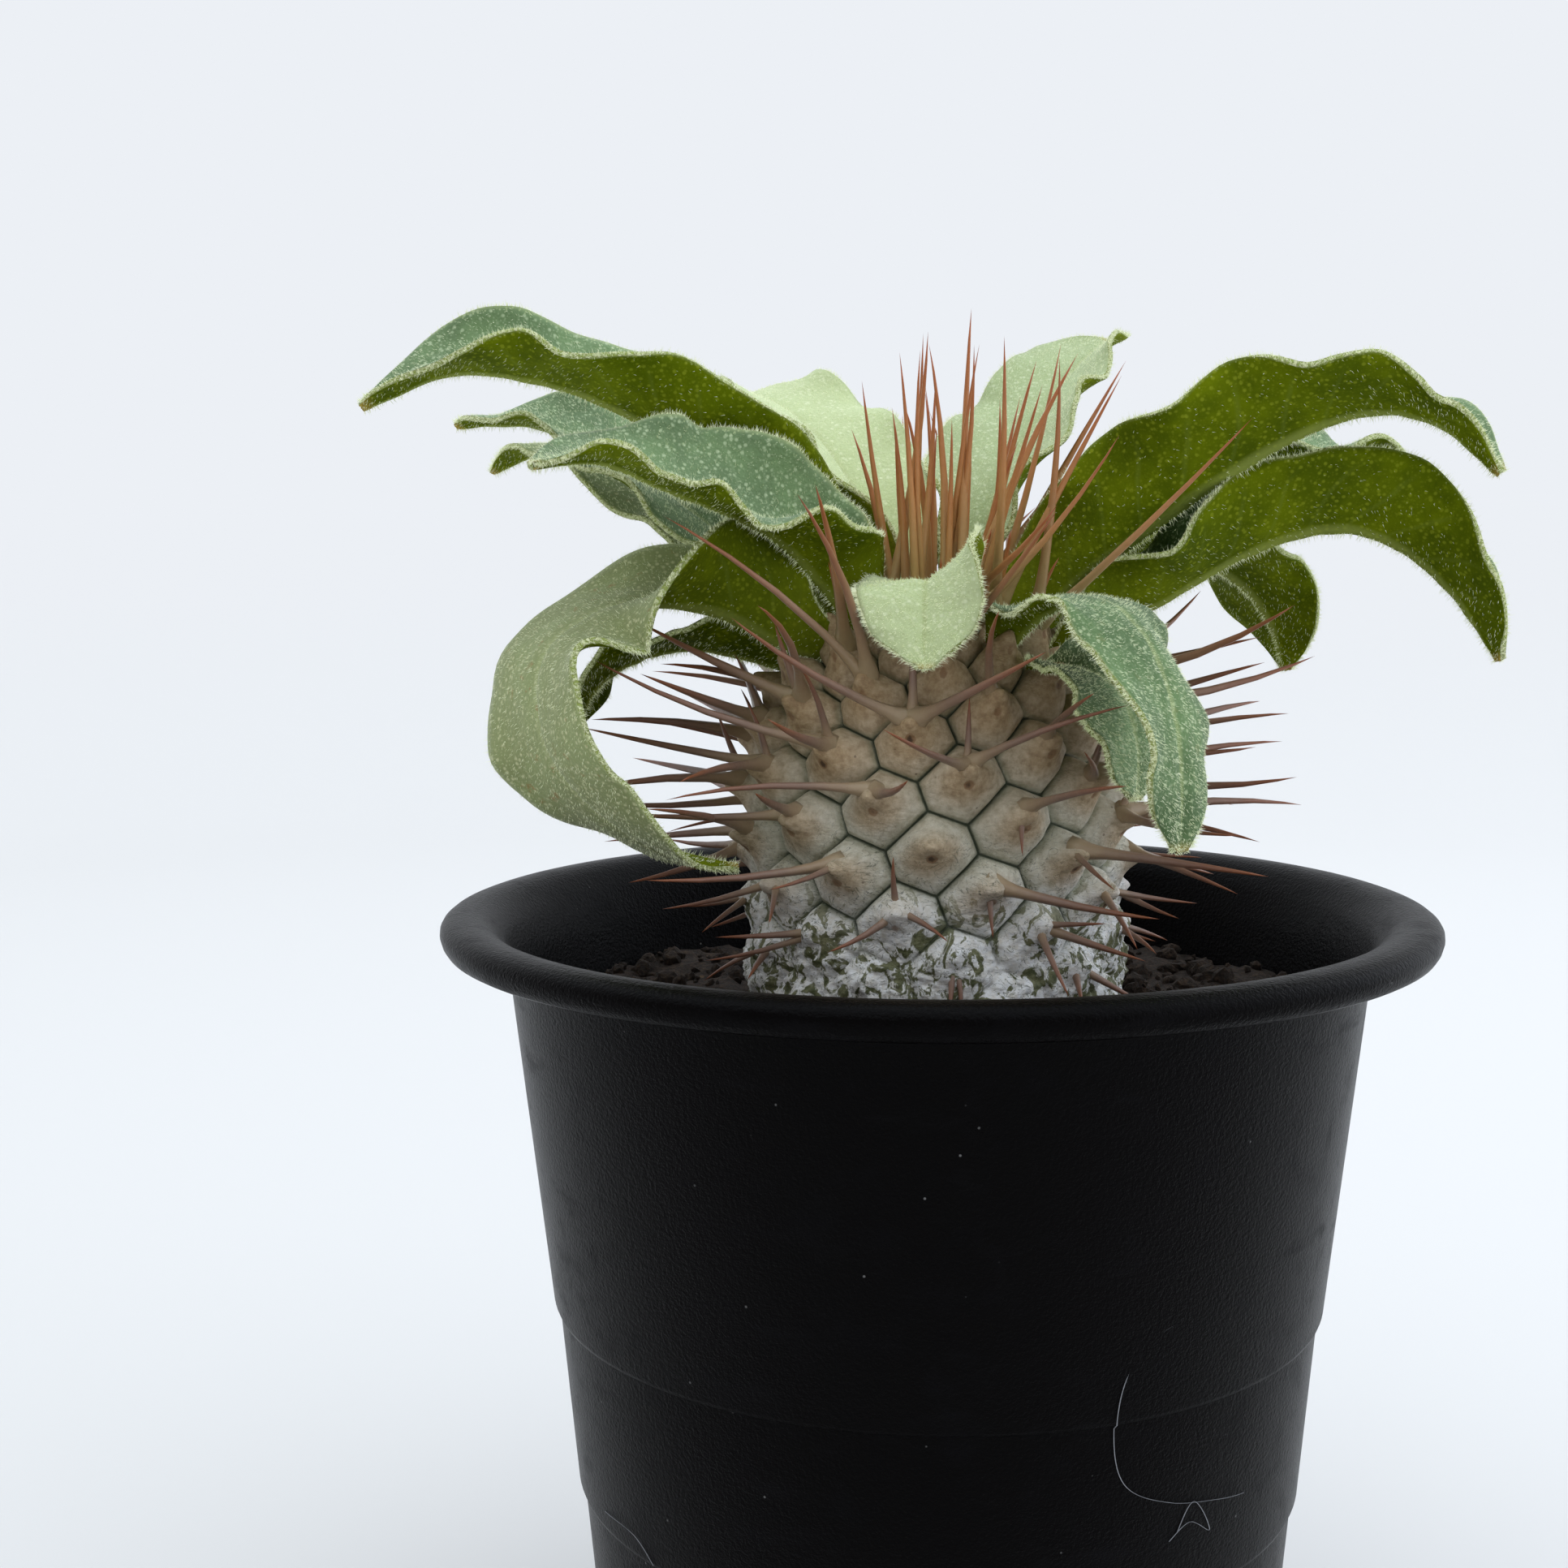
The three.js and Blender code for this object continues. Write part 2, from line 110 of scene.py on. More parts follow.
def spinProfile(profile, turns):
    bm = bmesh.new()
    points = [bm.verts.new((r * mm, 0, z * mm)) for r, z in profile]
    edges = [bm.edges.new(pair) for pair in zip(points, points[1:])]
    bmesh.ops.spin(bm, geom=points + edges, cent=(0, 0, 0), axis=(0, 0, 1), angle=2 * math.pi,
                   steps=turns, use_merge=True, use_duplicate=False)
    bmesh.ops.remove_doubles(bm, verts=bm.verts, dist=1e-6)
    bmesh.ops.recalc_face_normals(bm, faces=bm.faces)
    return bm


# Shader maths: a wire is a socket that takes part in sums

class Wire:
    def __init__(self, paint, socket):
        self.paint = paint
        self.socket = socket

    def sum(self, operation, first, second):
        return self.paint.add("ShaderNodeMath", {"operation": operation}, {0: first, 1: second})

    def __add__(self, other):
        return self.sum("ADD", self, other)

    __radd__ = __add__

    def __sub__(self, other):
        return self.sum("SUBTRACT", self, other)

    def __rsub__(self, other):
        return self.sum("SUBTRACT", other, self)

    def __mul__(self, other):
        return self.sum("MULTIPLY", self, other)

    __rmul__ = __mul__


class Paint:
    def __init__(self, name):
        self.material = bpy.data.materials.new(name)
        self.material.use_nodes = True
        self.tree = self.material.node_tree
        self.shader = self.tree.nodes["Principled BSDF"]
        self.place = self.add("ShaderNodeTexCoord", {}, {}, "Object")

    def add(self, kind, settings, values, output=0):
        node = self.tree.nodes.new(kind)
        for key, value in settings.items():
            if key == "stops":
                for spot, colour in value[2:]:
                    node.color_ramp.elements.new(spot)
                for element, (spot, colour) in zip(node.color_ramp.elements, value):
                    element.position = spot
                    element.color = (*colour, 1)
            else:
                setattr(node, key, value)
        for key, value in values.items():
            self.feed(node.inputs[key], value)
        return Wire(self, node.outputs[output])

    def feed(self, socket, value):
        if isinstance(value, Wire):
            self.tree.links.new(value.socket, socket)
        elif isinstance(value, tuple) and socket.type == "RGBA":
            socket.default_value = (*value, 1)
        else:
            socket.default_value = value

    def step(self, value, low, high):  # 0 below low, 1 above high
        values = {"Value": value, "From Min": low, "From Max": high}
        return self.add("ShaderNodeMapRange", {"interpolation_type": "SMOOTHSTEP"}, values)

    def noise(self, size, detail=3, roughness=0.55, place=None, distortion=0):  # size in mm
        values = {"Vector": place or self.place, "Scale": 1 / (size * mm), "Detail": detail,
                  "Roughness": roughness, "Distortion": distortion}
        return self.add("ShaderNodeTexNoise", {}, values, "Fac")

    def cells(self, size):  # distance from scattered points, size in mm
        values = {"Vector": self.place, "Scale": 1 / (size * mm)}
        return self.add("ShaderNodeTexVoronoi", {}, values, "Distance")

    def stretched(self, x, y, z):
        return self.add("ShaderNodeMapping", {}, {"Vector": self.place, "Scale": (x, y, z)})

    def attribute(self, name):
        return self.add("ShaderNodeAttribute", {"attribute_name": name}, {}, "Fac")

    def tint(self, mask, first, second):
        return self.add("ShaderNodeMix", {"data_type": "RGBA"}, {0: mask, 6: first, 7: second}, 2)

    def ramp(self, value, stops):
        return self.add("ShaderNodeValToRGB", {"stops": stops}, {"Fac": value}, "Color")

    def finish(self, colour, roughness, height=None, depth=0, **constants):
        self.feed(self.shader.inputs["Base Color"], colour)
        self.feed(self.shader.inputs["Roughness"], roughness)
        if height:
            bump = self.add("ShaderNodeBump", {}, {"Height": height, "Distance": depth * mm}, "Normal")
            self.feed(self.shader.inputs["Normal"], bump)
        for key, value in constants.items():
            self.feed(self.shader.inputs[key.replace("_", " ")], value)
        return self.material


# Camera at the photograph's viewpoint

view = {
    "place": (0, -219.5, 132.2),
    "turn": 0.073,  # to the left, in radians, as the next two
    "down": 0.111,
    "roll": -0.008,
    "lens": 47.3,
    "sensor": 36,
}


def makeCamera():
    data = bpy.data.cameras.new("camera")
    data.lens = view["lens"]
    data.sensor_width = view["sensor"]
    data.clip_start = 0.01
    camera = addObject("camera", data)
    turned = Matrix.Rotation(view["turn"], 4, "Z")
    lowered = Matrix.Rotation(math.pi / 2 - view["down"], 4, "X")
    rolled = Matrix.Rotation(view["roll"], 4, "Z")
    camera.matrix_world = Matrix.Translation(Vector(view["place"]) * mm) @ turned @ lowered @ rolled
    bpy.context.scene.camera = camera


makeCamera()
print("camera set")


# Pot

pot = {
    "footRadius": 35.6,  # in mm, as all that follows
    "slope": 0.09,
    "wall": 1.3,
    "floor": 1.8,
    "steps": [33, 53],
    "stepDepth": 0.5,
    "holes": 8,
    "holeRadius": 2.5,
    "holeRing": 22,
    "turns": 160,
    "foot": [(0, 0), (33.2, 0), (34.2, 0.15), (34.9, 0.6)],  # radius and height
    "rim": [  # radius and height from the rim plane, from outside to inside
        (45.75, -2.9), (46.0, -2.3), (46.6, -2.0), (50, -2.05), (50.5, -2.6), (50.9, -3.2), (51.5, -3.3),
        (51.95, -3.05), (52.3, -2.5), (52.5, -1.8), (52.45, -1.2), (52.2, -0.75), (51.7, -0.35),
        (51, -0.1), (50, 0), (49.1, -0.05), (48.2, -0.3), (47.4, -0.75), (46.7, -1.4), (46, -2.15),
        (45.4, -3), (44.9, -4.2),
    ],
}


def wallAt(z):  # the wall's outer radius
    return pot["footRadius"] + pot["slope"] * z + pot["stepDepth"] * sum(z > h for h in pot["steps"])


def potProfile():
    outside = pot["foot"] + [(wallAt(1.4), 1.5)]
    for h in pot["steps"]:
        outside += [(wallAt(h) - 0.02, h - 0.1), (wallAt(h), h)]
        outside += [(wallAt(h + 0.4) - 0.15, h + 0.1), (wallAt(h + 0.5), h + 0.5)]
    rim = [(r, potHeight + z) for r, z in pot["rim"]]
    corner = pot["floor"] + 1
    inside = [(wallAt(potHeight - 6) - pot["wall"], potHeight - 7), (wallAt(corner) - pot["wall"], corner),
              (wallAt(corner) - pot["wall"] - 0.8, pot["floor"]), (0, pot["floor"])]
    return outside + rim + inside


def drillHoles(piece):
    bm = bmesh.new()
    for i in range(pot["holes"]):
        place = Matrix.Translation(polar(pot["holeRing"], 360 * i / pot["holes"], 1) * mm)
        radius = pot["holeRadius"] * mm
        bmesh.ops.create_cone(bm, cap_ends=True, segments=32, radius1=radius, radius2=radius,
                              depth=8 * mm, matrix=place)
    drills = addObject("drills", meshOf("drills", bm))
    cut = piece.modifiers.new("holes", "BOOLEAN")
    cut.object = drills
    cut.solver = "EXACT"
    bpy.context.view_layer.update()
    finished = piece.evaluated_get(bpy.context.evaluated_depsgraph_get())
    drilled = bpy.data.meshes.new_from_object(finished)
    piece.modifiers.clear()
    piece.data = drilled
    bpy.data.objects.remove(drills)


def blackPlastic():
    paint = Paint("black plastic")
    grain = paint.noise(0.4, 2, 0.7)
    scuffs = paint.step(paint.noise(14, 3, 0.7, paint.stretched(1, 1, 4)), 0.56, 0.75)
    patch = paint.step(paint.noise(18, 2), 0.45, 0.62)
    dust = (1 - paint.step(paint.cells(2.6), 0.03, 0.06)) * patch
    haze = paint.step(paint.noise(5, 3, 0.7), 0.5, 0.8)
    colour = paint.tint(haze * 0.6, (0.0008, 0.0005, 0.0006), (0.002, 0.0018, 0.0024))
    colour = paint.tint(scuffs * 0.15, colour, (0.008, 0.008, 0.01))
    colour = paint.tint(dust * 0.6, colour, (0.22, 0.22, 0.22))
    roughness = 0.31 + haze * 0.12 + scuffs * 0.1 + dust * 0.3
    return paint.finish(colour, roughness, grain, 0.12, Specular_IOR_Level=0.04)


def makePot():
    shell = spinProfile(potProfile(), pot["turns"])
    drillHoles(makePiece("pot_shell", shell, ["pot"], [blackPlastic()]))


lint = {  # fibres that cling to the wall, each as (bearing, height) points
    "thickness": 0.045,
    "bendsPerPoint": 12,
    "fibres": [
        [(201, 77.2), (216, 79.1), (224.6, 78.1), (231, 75.4), (237, 74.1)],
        [(262, 69.4), (264.2, 71), (267.6, 71.9), (270.9, 70.6)],
        [(310, 62.3), (300.4, 61.9), (295.1, 58.3), (293.6, 52.7), (295.7, 46.8), (303.1, 43.9),
         (312.5, 42.4), (318.5, 41.7)],
        [(305.3, 70.5), (307.4, 68.5), (316.8, 67.6), (338.3, 67.3)],
        [(211.7, 35.3), (220.7, 35.5), (225.3, 33.3)],
        [(303.7, 39.8), (307.1, 41.2), (311.3, 39.5), (307.6, 43.2), (305, 40.5)],
        [(267.6, 76.8), (269, 76.5), (268.4, 75.4)],
        [(60, 60), (66, 64), (75, 62), (82, 66)],
        [(140, 40), (150, 46), (158, 45)],
    ],
}


def fibrePath(fibre):
    count = lint["bendsPerPoint"] * (len(fibre) - 1)
    path = []
    for i in range(count + 1):
        bearing, z = (along([point[k] for point in fibre], i / count) for k in (0, 1))
        clear = 0.05 + 0.1 * math.sin(3 * i) ** 2
        path.append(polar(wallAt(z) + clear, bearing, z) * mm)
    return path


def makeLint():
    bm = bmesh.new()
    for fibre in lint["fibres"]:
        path = fibrePath(fibre)
        ring = bmesh.ops.create_circle(bm, segments=4, radius=lint["thickness"] * mm)["verts"]
        bmesh.ops.translate(bm, vec=path[0], verts=ring)
        rim = list({edge for vert in ring for edge in vert.link_edges})
        for here, there in zip(path, path[1:]):
            rim, moved = growEdges(bm, rim)
            bmesh.ops.translate(bm, vec=there - here, verts=moved)
    bmesh.ops.recalc_face_normals(bm, faces=bm.faces)
    paint = Paint("lint")
    fluff = paint.tint(paint.noise(2), (0.16, 0.165, 0.18), (0.36, 0.37, 0.4))
    makePiece("pot_lint", bm, [], [paint.finish(fluff, 0.9)])


makePot()
makeLint()
print("pot made")


# Soil: a rough surface with crumbs lying on it

soil = {
    "level": -11.5,
    "innerRadius": 17,
    "outerRadius": 42.1,
    "depth": 82.6,
    "bottomShrink": 0.83,
    "segments": 144,
    "rings": 34,
    "lumps": [(0.12, 1.6, 3), (0.45, 0.9, 9), (1.3, 0.35, 1)],  # how fine, how high and the noise's layer
    "crumbs": 900,
    "crumbRing": (20.8, 41.6),
    "crumbSize": (0.35, 1.5),
    "crumbLimits": (20.2, 42),
}


def soilHeight(x, y):
    lumps = [high * noise.noise(Vector((x, y, layer)) * fine) for fine, high, layer in soil["lumps"]]
    return soil["level"] + sum(lumps)


def makeSoil(material):
    bm = bmesh.new()
    bmesh.ops.create_circle(bm, segments=soil["segments"], radius=soil["innerRadius"])
    loop = list(bm.edges)
    before = soil["innerRadius"]
    for i in range(soil["rings"]):
        loop, moved = growEdges(bm, loop)
        after = mix(soil["innerRadius"], soil["outerRadius"], (i + 1) / soil["rings"])
        bmesh.ops.scale(bm, vec=(after / before, after / before, 1), verts=moved)
        before = after
    for vert in bm.verts:
        vert.co = toFrame(Vector((vert.co.x, vert.co.y, soilHeight(vert.co.x, vert.co.y))))
    _, bottom = growEdges(bm, [e for e in bm.edges if e.is_boundary])
    middle = mix(soil["innerRadius"], soil["outerRadius"], 0.5) * mm
    for vert in bottom:
        shrink = soil["bottomShrink"] if vert.co.xy.length > middle else 1
        vert.co.x *= shrink
        vert.co.y *= shrink
        vert.co.z = (potHeight + soil["level"] - soil["depth"] + 1) * mm
    bmesh.ops.holes_fill(bm, edges=[e for e in bm.edges if e.is_boundary])
    bmesh.ops.recalc_face_normals(bm, faces=bm.faces)
    makePiece("soil_bed", bm, ["soil"], [material])


def makeCrumbs(material):
    bm = bmesh.new()
    near, far = soil["crumbRing"]
    nearest, farthest = soil["crumbLimits"]
    for i in range(soil["crumbs"]):
        r = math.sqrt(mix(near ** 2, far ** 2, seeded(i + 1000)))
        spot = polar(r, 360 * seeded(i + 3000), 0)
        size = mix(*soil["crumbSize"], seeded(i + 5000) ** 2.5)
        size = min(size, r - nearest, farthest - r)
        spot.z = soilHeight(spot.x, spot.y) + 0.35 * size
        turn = Matrix.Rotation(6.28 * seeded(i + 7000), 4, (seeded(i), seeded(i + 50) - 0.5, 0.3))
        width = size * mix(0.6, 1, seeded(i + 200))
        height = size * mix(0.5, 0.9, seeded(i + 400))
        shape = turn @ Matrix.Diagonal((size, width, height, 1))
        level = 2 if size > 0.8 else 1
        made = bmesh.ops.create_icosphere(bm, subdivisions=level, radius=1, matrix=shape)
        for vert in made["verts"]:
            rough = 1 + 0.5 * noise.noise(vert.co / size * 1.4 + Vector((i, 0, 0)))
            vert.co = toFrame(vert.co * rough + spot)
    makePiece("soil_crumbs", bm, [], [material], shade=False)


def pottingSoil():
    paint = Paint("potting soil")
    grit = paint.noise(0.7, 4, 0.7)
    lump = paint.noise(4, 2)
    tone = paint.ramp(grit, [
        (0.3, (0.006, 0.0035, 0.002)), (0.5, (0.022, 0.012, 0.007)), (0.75, (0.07, 0.042, 0.024)),
    ])
    chip = 1 - paint.step(paint.cells(3.1), 0.08, 0.12)
    colour = paint.tint(chip * paint.step(lump, 0.55, 0.7), tone, (0.17, 0.1, 0.05))
    return paint.finish(colour, 0.95, grit + lump * 0.5, 0.5)


earth = pottingSoil()
makeSoil(earth)
makeCrumbs(earth)
print("soil made")


# Stem: cells of a spiral lattice, each raised to a tubercle

stem = {
    "sections": [  # height and radius, in mm above the rim
        (-18, 19.4), (-11.5, 19.6), (-5, 19.2), (1, 18.4), (7, 18.1),
        (13, 17.6), (19, 16.4), (24, 14), (27.5, 10.4), (29.5, 5.5),
    ],
    "crown": 31,
    "rootTip": -49,
    "pairTurn": 68.75,
    "pairDrop": 0.88,
    "firstAzimuth": 279.5,
    "firstHeight": 15.4,
    "meanRadius": 18.2,
    "tubercleRadius": 20.5,
    "cellDrop": 1,
    "lowestCell": -29,
    "highestCell": 29,
    "topCorner": (-1.4, 4.85),
    "cuts": 13,
    "outlineSteps": 240,
    "skin": [(0.45, 0.3), (2.2, 0.05)],  # how fine and how high the bark's unevenness is
    "crust": [(0.5, 0.5), (1.3, 0.35), (5, 0.12)],  # the same for the old bark low down, as flakes
    "flakes": (2.4, 0.5),
    "fullRadius": 11,  # tubercles are lower where the stem is thinner than this
    "pad": (1.15, 0.3),  # a cell's rounded rise and the further rise to its middle
    "hill": (2, 2.8, 2.4, 0.7),  # height, half width, half length and place up the cell, as the two next
    "nipple": (1.45, 1.25, 1, 1.15),
    "scar": (0.3, 0.52, 0.46, -0.3),
    "crease": (0.35, 0.05),  # depth, and width as a share of the cell
}


def stemOutline():  # height, radius and pairs up the stem
    points = []
    for i in range(stem["outlineSteps"] + 1):
        t = i / stem["outlineSteps"]
        z, r = (along([section[k] for section in stem["sections"]], t) for k in (0, 1))
        zLast, rLast, pairLast = points[-1] if points else (z, r, 0)
        step = math.hypot(r - rLast, z - zLast) / stem["pairDrop"] * stem["meanRadius"] / r
        points.append((z, r, pairLast + step))
    below = next(pair for z, r, pair in points if z > stem["firstHeight"])
    return [(z, r, pair - below) for z, r, pair in points]


outline = stemOutline()


def outlineAt(pair):
    i = next((i for i, point in enumerate(outline) if point[2] >= pair), len(outline) - 1)
    a, b = outline[max(i, 1) - 1], outline[max(i, 1)]
    t = (pair - a[2]) / (b[2] - a[2])
    length = math.hypot(b[0] - a[0], a[1] - b[1])
    return mix(a[0], b[0], t), mix(a[1], b[1], t), (b[0] - a[0]) / length, (a[1] - b[1]) / length


def bodyPoint(azimuth, pair, lift):  # a point at a lift above the smooth body
    z, r, outward, upward = outlineAt(pair)
    return polar(r + outward * lift, azimuth, z + upward * lift)


def ageAt(z):  # how far the tubercles stand out at a height, from 0 to 1
    return mix(0.25 * smooth(z, soil["level"], -8), 1, smooth(z, -8, 9))


# Steps to the neighbouring cells, in degrees round the stem and pairs up it

above = Vector((8 * stem["pairTurn"] - 540, 8))
aboveLeft = Vector((5 * stem["pairTurn"] - 360, 5))
neighbours = [above, aboveLeft, above - aboveLeft]
neighbours += [-step for step in neighbours]


def flatDistance(step):  # turn and pairs as a length in mm, cells a little wider than tall
    return math.hypot(0.9 * math.radians(step.x) * stem["tubercleRadius"], 1.12 * step.y * stem["pairDrop"])


def insideOf(step):  # 0 on a cell's edge, 1 in its middle
    distances = sorted(flatDistance(step - other) for other in [Vector((0, 0))] + neighbours)
    return 1 - distances[0] / distances[1]


def cellMesh():
    top = Vector(stem["topCorner"])
    right = top - aboveLeft
    upperRight = above - top
    bm = bmesh.new()
    bmesh.ops.create_circle(bm, cap_ends=True, cap_tris=True, segments=6, radius=1)
    rim = [v for v in bm.verts if v.co.length > 0.5]
    rim.sort(key=lambda v: math.atan2(v.co.x, v.co.y) % math.tau)
    for vert, corner in zip(rim, [top, upperRight, right, -top, -upperRight, -right]):
        vert.co = corner.to_3d()
    bmesh.ops.subdivide_edges(bm, edges=bm.edges, cuts=stem["cuts"], use_grid_fill=True)
    return meshOf("cell", bm)


def mound(u, v, shape):
    height, width, length, place = shape
    return height * math.exp(-(u / width) ** 2 - ((v - place) / length) ** 2)


def tubercleHeight(inside, x, y, size):  # a round pad in a crease, with a nipple and a leaf scar under it
    u, v = math.radians(x) * stem["tubercleRadius"], y * stem["pairDrop"]
    rounded, further = stem["pad"]
    pad = rounded * math.sqrt(smooth(inside, 0, 0.5)) + further * inside
    rise = mound(u, v, stem["hill"]) + mound(u, v, stem["nipple"])
    depth, width, length, place = stem["scar"]
    scar = math.exp(-((u / width) ** 2 + ((v - place) / length) ** 2) ** 2)
    deep, narrow = stem["crease"]
    top = size * pad * smooth(inside, 0, 0.1) + rise * smooth(inside, 0, 0.2)
    return top - depth * scar - deep * math.exp(-(inside / narrow) ** 2), scar


def unevenness(place, layers):
    return sum(high * noise.noise(place * fine) for fine, high in layers)


def barkRoughness(place, z):
    fine, high = stem["flakes"]
    crust = unevenness(place, stem["crust"]) + high * abs(noise.noise(place * fine))
    return unevenness(place, stem["skin"]) + crust * (1 - smooth(z, -5, 7))


def makeStem():
    cell = cellMesh()
    points = [Vector(v.co.xy) for v in cell.vertices]
    insides = [insideOf(p) for p in points]
    bm = bmesh.new()
    insideLayer = bm.verts.layers.float.new("inside")
    scarLayer = bm.verts.layers.float.new("scar")
    for n in range(stem["lowestCell"], stem["highestCell"] + 1):
        for half in (0, 1):
            known = len(bm.verts)
            bm.from_mesh(cell)
            bm.verts.ensure_lookup_table()
            size = mix(0.88, 1.12, seeded(2 * n + half + 77))
            for k, point in enumerate(points):
                azimuth = stem["firstAzimuth"] + stem["pairTurn"] * n + 180 * half + point.x
                pair = n - stem["cellDrop"] + point.y
                z, r, _, _ = outlineAt(pair)
                height, scar = tubercleHeight(insides[k], point.x, point.y, size)
                lift = ageAt(z) * min(1, r / stem["fullRadius"]) * height
                lift += barkRoughness(bodyPoint(azimuth, pair, lift), z)
                vert = bm.verts[known + k]
                vert.co = toFrame(bodyPoint(azimuth, pair, lift))
                vert[insideLayer] = insides[k]
                vert[scarLayer] = scar * smooth(z, -6, 2) * mix(0.5, 1, seeded(2 * n + half + 31))
    bmesh.ops.remove_doubles(bm, verts=bm.verts, dist=8e-5)
    ends = [e for e in bm.edges if e.is_boundary]
    for isTop in (False, True):
        loop = [e for e in ends if (e.verts[0].co.z > 0.1) == isTop]
        cap = bmesh.ops.edgeloop_fill(bm, edges=loop)["faces"]
        centre = bmesh.ops.poke(bm, faces=cap)["verts"][0]
        centre.co = toFrame(Vector((0, 0, stem["crown"] if isTop else stem["rootTip"])))
    bmesh.ops.recalc_face_normals(bm, faces=bm.faces)
    makePiece("stem_body", bm, ["stem"], [barkPaint()])


def barkPaint():
    paint = Paint("bark")
    inside = paint.attribute("inside")
    scar = paint.attribute("scar")
    z = paint.add("ShaderNodeSeparateXYZ", {}, {0: paint.place}, "Z") * (1 / mm) - potHeight
    broad = paint.noise(7, 3, 0.6)
    fine = paint.noise(0.8, 3, 0.65)
    wobble = z + (broad - 0.5) * 10
    young = paint.step(wobble, 8, 22)
    old = 1 - paint.step(wobble, -2, 7)
    tan = paint.ramp(fine, [
        (0.25, (0.28, 0.16, 0.068)), (0.5, (0.45, 0.3, 0.15)), (0.75, (0.6, 0.44, 0.26)),
    ])
    silver = paint.ramp(fine, [
        (0.25, (0.46, 0.42, 0.31)), (0.5, (0.63, 0.6, 0.49)), (0.75, (0.75, 0.73, 0.64)),
    ])
    colour = paint.tint(paint.step(inside, 0.3, 0.85) * 0.7, silver, tan)
    colour = paint.tint(young * 0.75, colour, tan)
    chalk = paint.ramp(fine, [(0.3, (0.76, 0.73, 0.66)), (0.6, (0.92, 0.93, 0.94))])
    flakes = paint.noise(2.4, 4, 0.62, paint.stretched(1, 1, 0.8), 1.5)
    olive = paint.ramp(fine, [(0.35, (0.07, 0.08, 0.025)), (0.7, (0.25, 0.25, 0.13))])
    bare = paint.step(flakes + inside * 0.03 + paint.step(z, -4, 9) * 0.08, 0.46, 0.52)
    colour = paint.tint(old, colour, paint.tint(bare, olive, chalk))
    # painted shade: the creases get a broad dark green halo and a thin dark green line, partly the stem's
    # own green skin and partly painted shade in the valleys
    crease = inside + (fine - 0.5) * 0.05
    veiled = paint.step(z, -5, 2)
    colour = paint.tint((1 - paint.step(crease, 0.05, 0.24)) * veiled * 0.5, colour, (0.22, 0.25, 0.15))
    colour = paint.tint((1 - paint.step(crease, 0.02, 0.1)) * veiled * 0.92, colour, (0.025, 0.04, 0.016))
    cracks = paint.noise(3.5, 3, 0.6, paint.stretched(1, 1, 1.6), 2.5)
    cracks = paint.add("ShaderNodeMath", {"operation": "ABSOLUTE"}, {0: cracks - 0.5})
    cracks = (1 - paint.step(cracks, 0.0, 0.016)) * (1 - paint.step(wobble, 4, 16))
    colour = paint.tint(cracks * 0.75, colour, (0.06, 0.075, 0.04))
    colour = paint.tint(paint.step(scar, 0.2, 0.5) * 0.7, colour, (0.26, 0.13, 0.055))
    colour = paint.tint(paint.step(scar, 0.6, 0.9) * 0.8, colour, (0.04, 0.02, 0.012))
    speck = (1 - paint.step(paint.cells(1.7), 0.06, 0.1)) * paint.step(broad, 0.5, 0.6)
    colour = paint.tint(speck * 0.6, colour, (0.12, 0.07, 0.04))
    wrinkles = paint.noise(1.1, 3, 0.65, paint.stretched(1, 1, 2))
    return paint.finish(colour, 0.58 + fine * 0.2, wrinkles, 0.22)


makeStem()
print("stem made")


# Leaves: each a folded, waved blade along its midrib

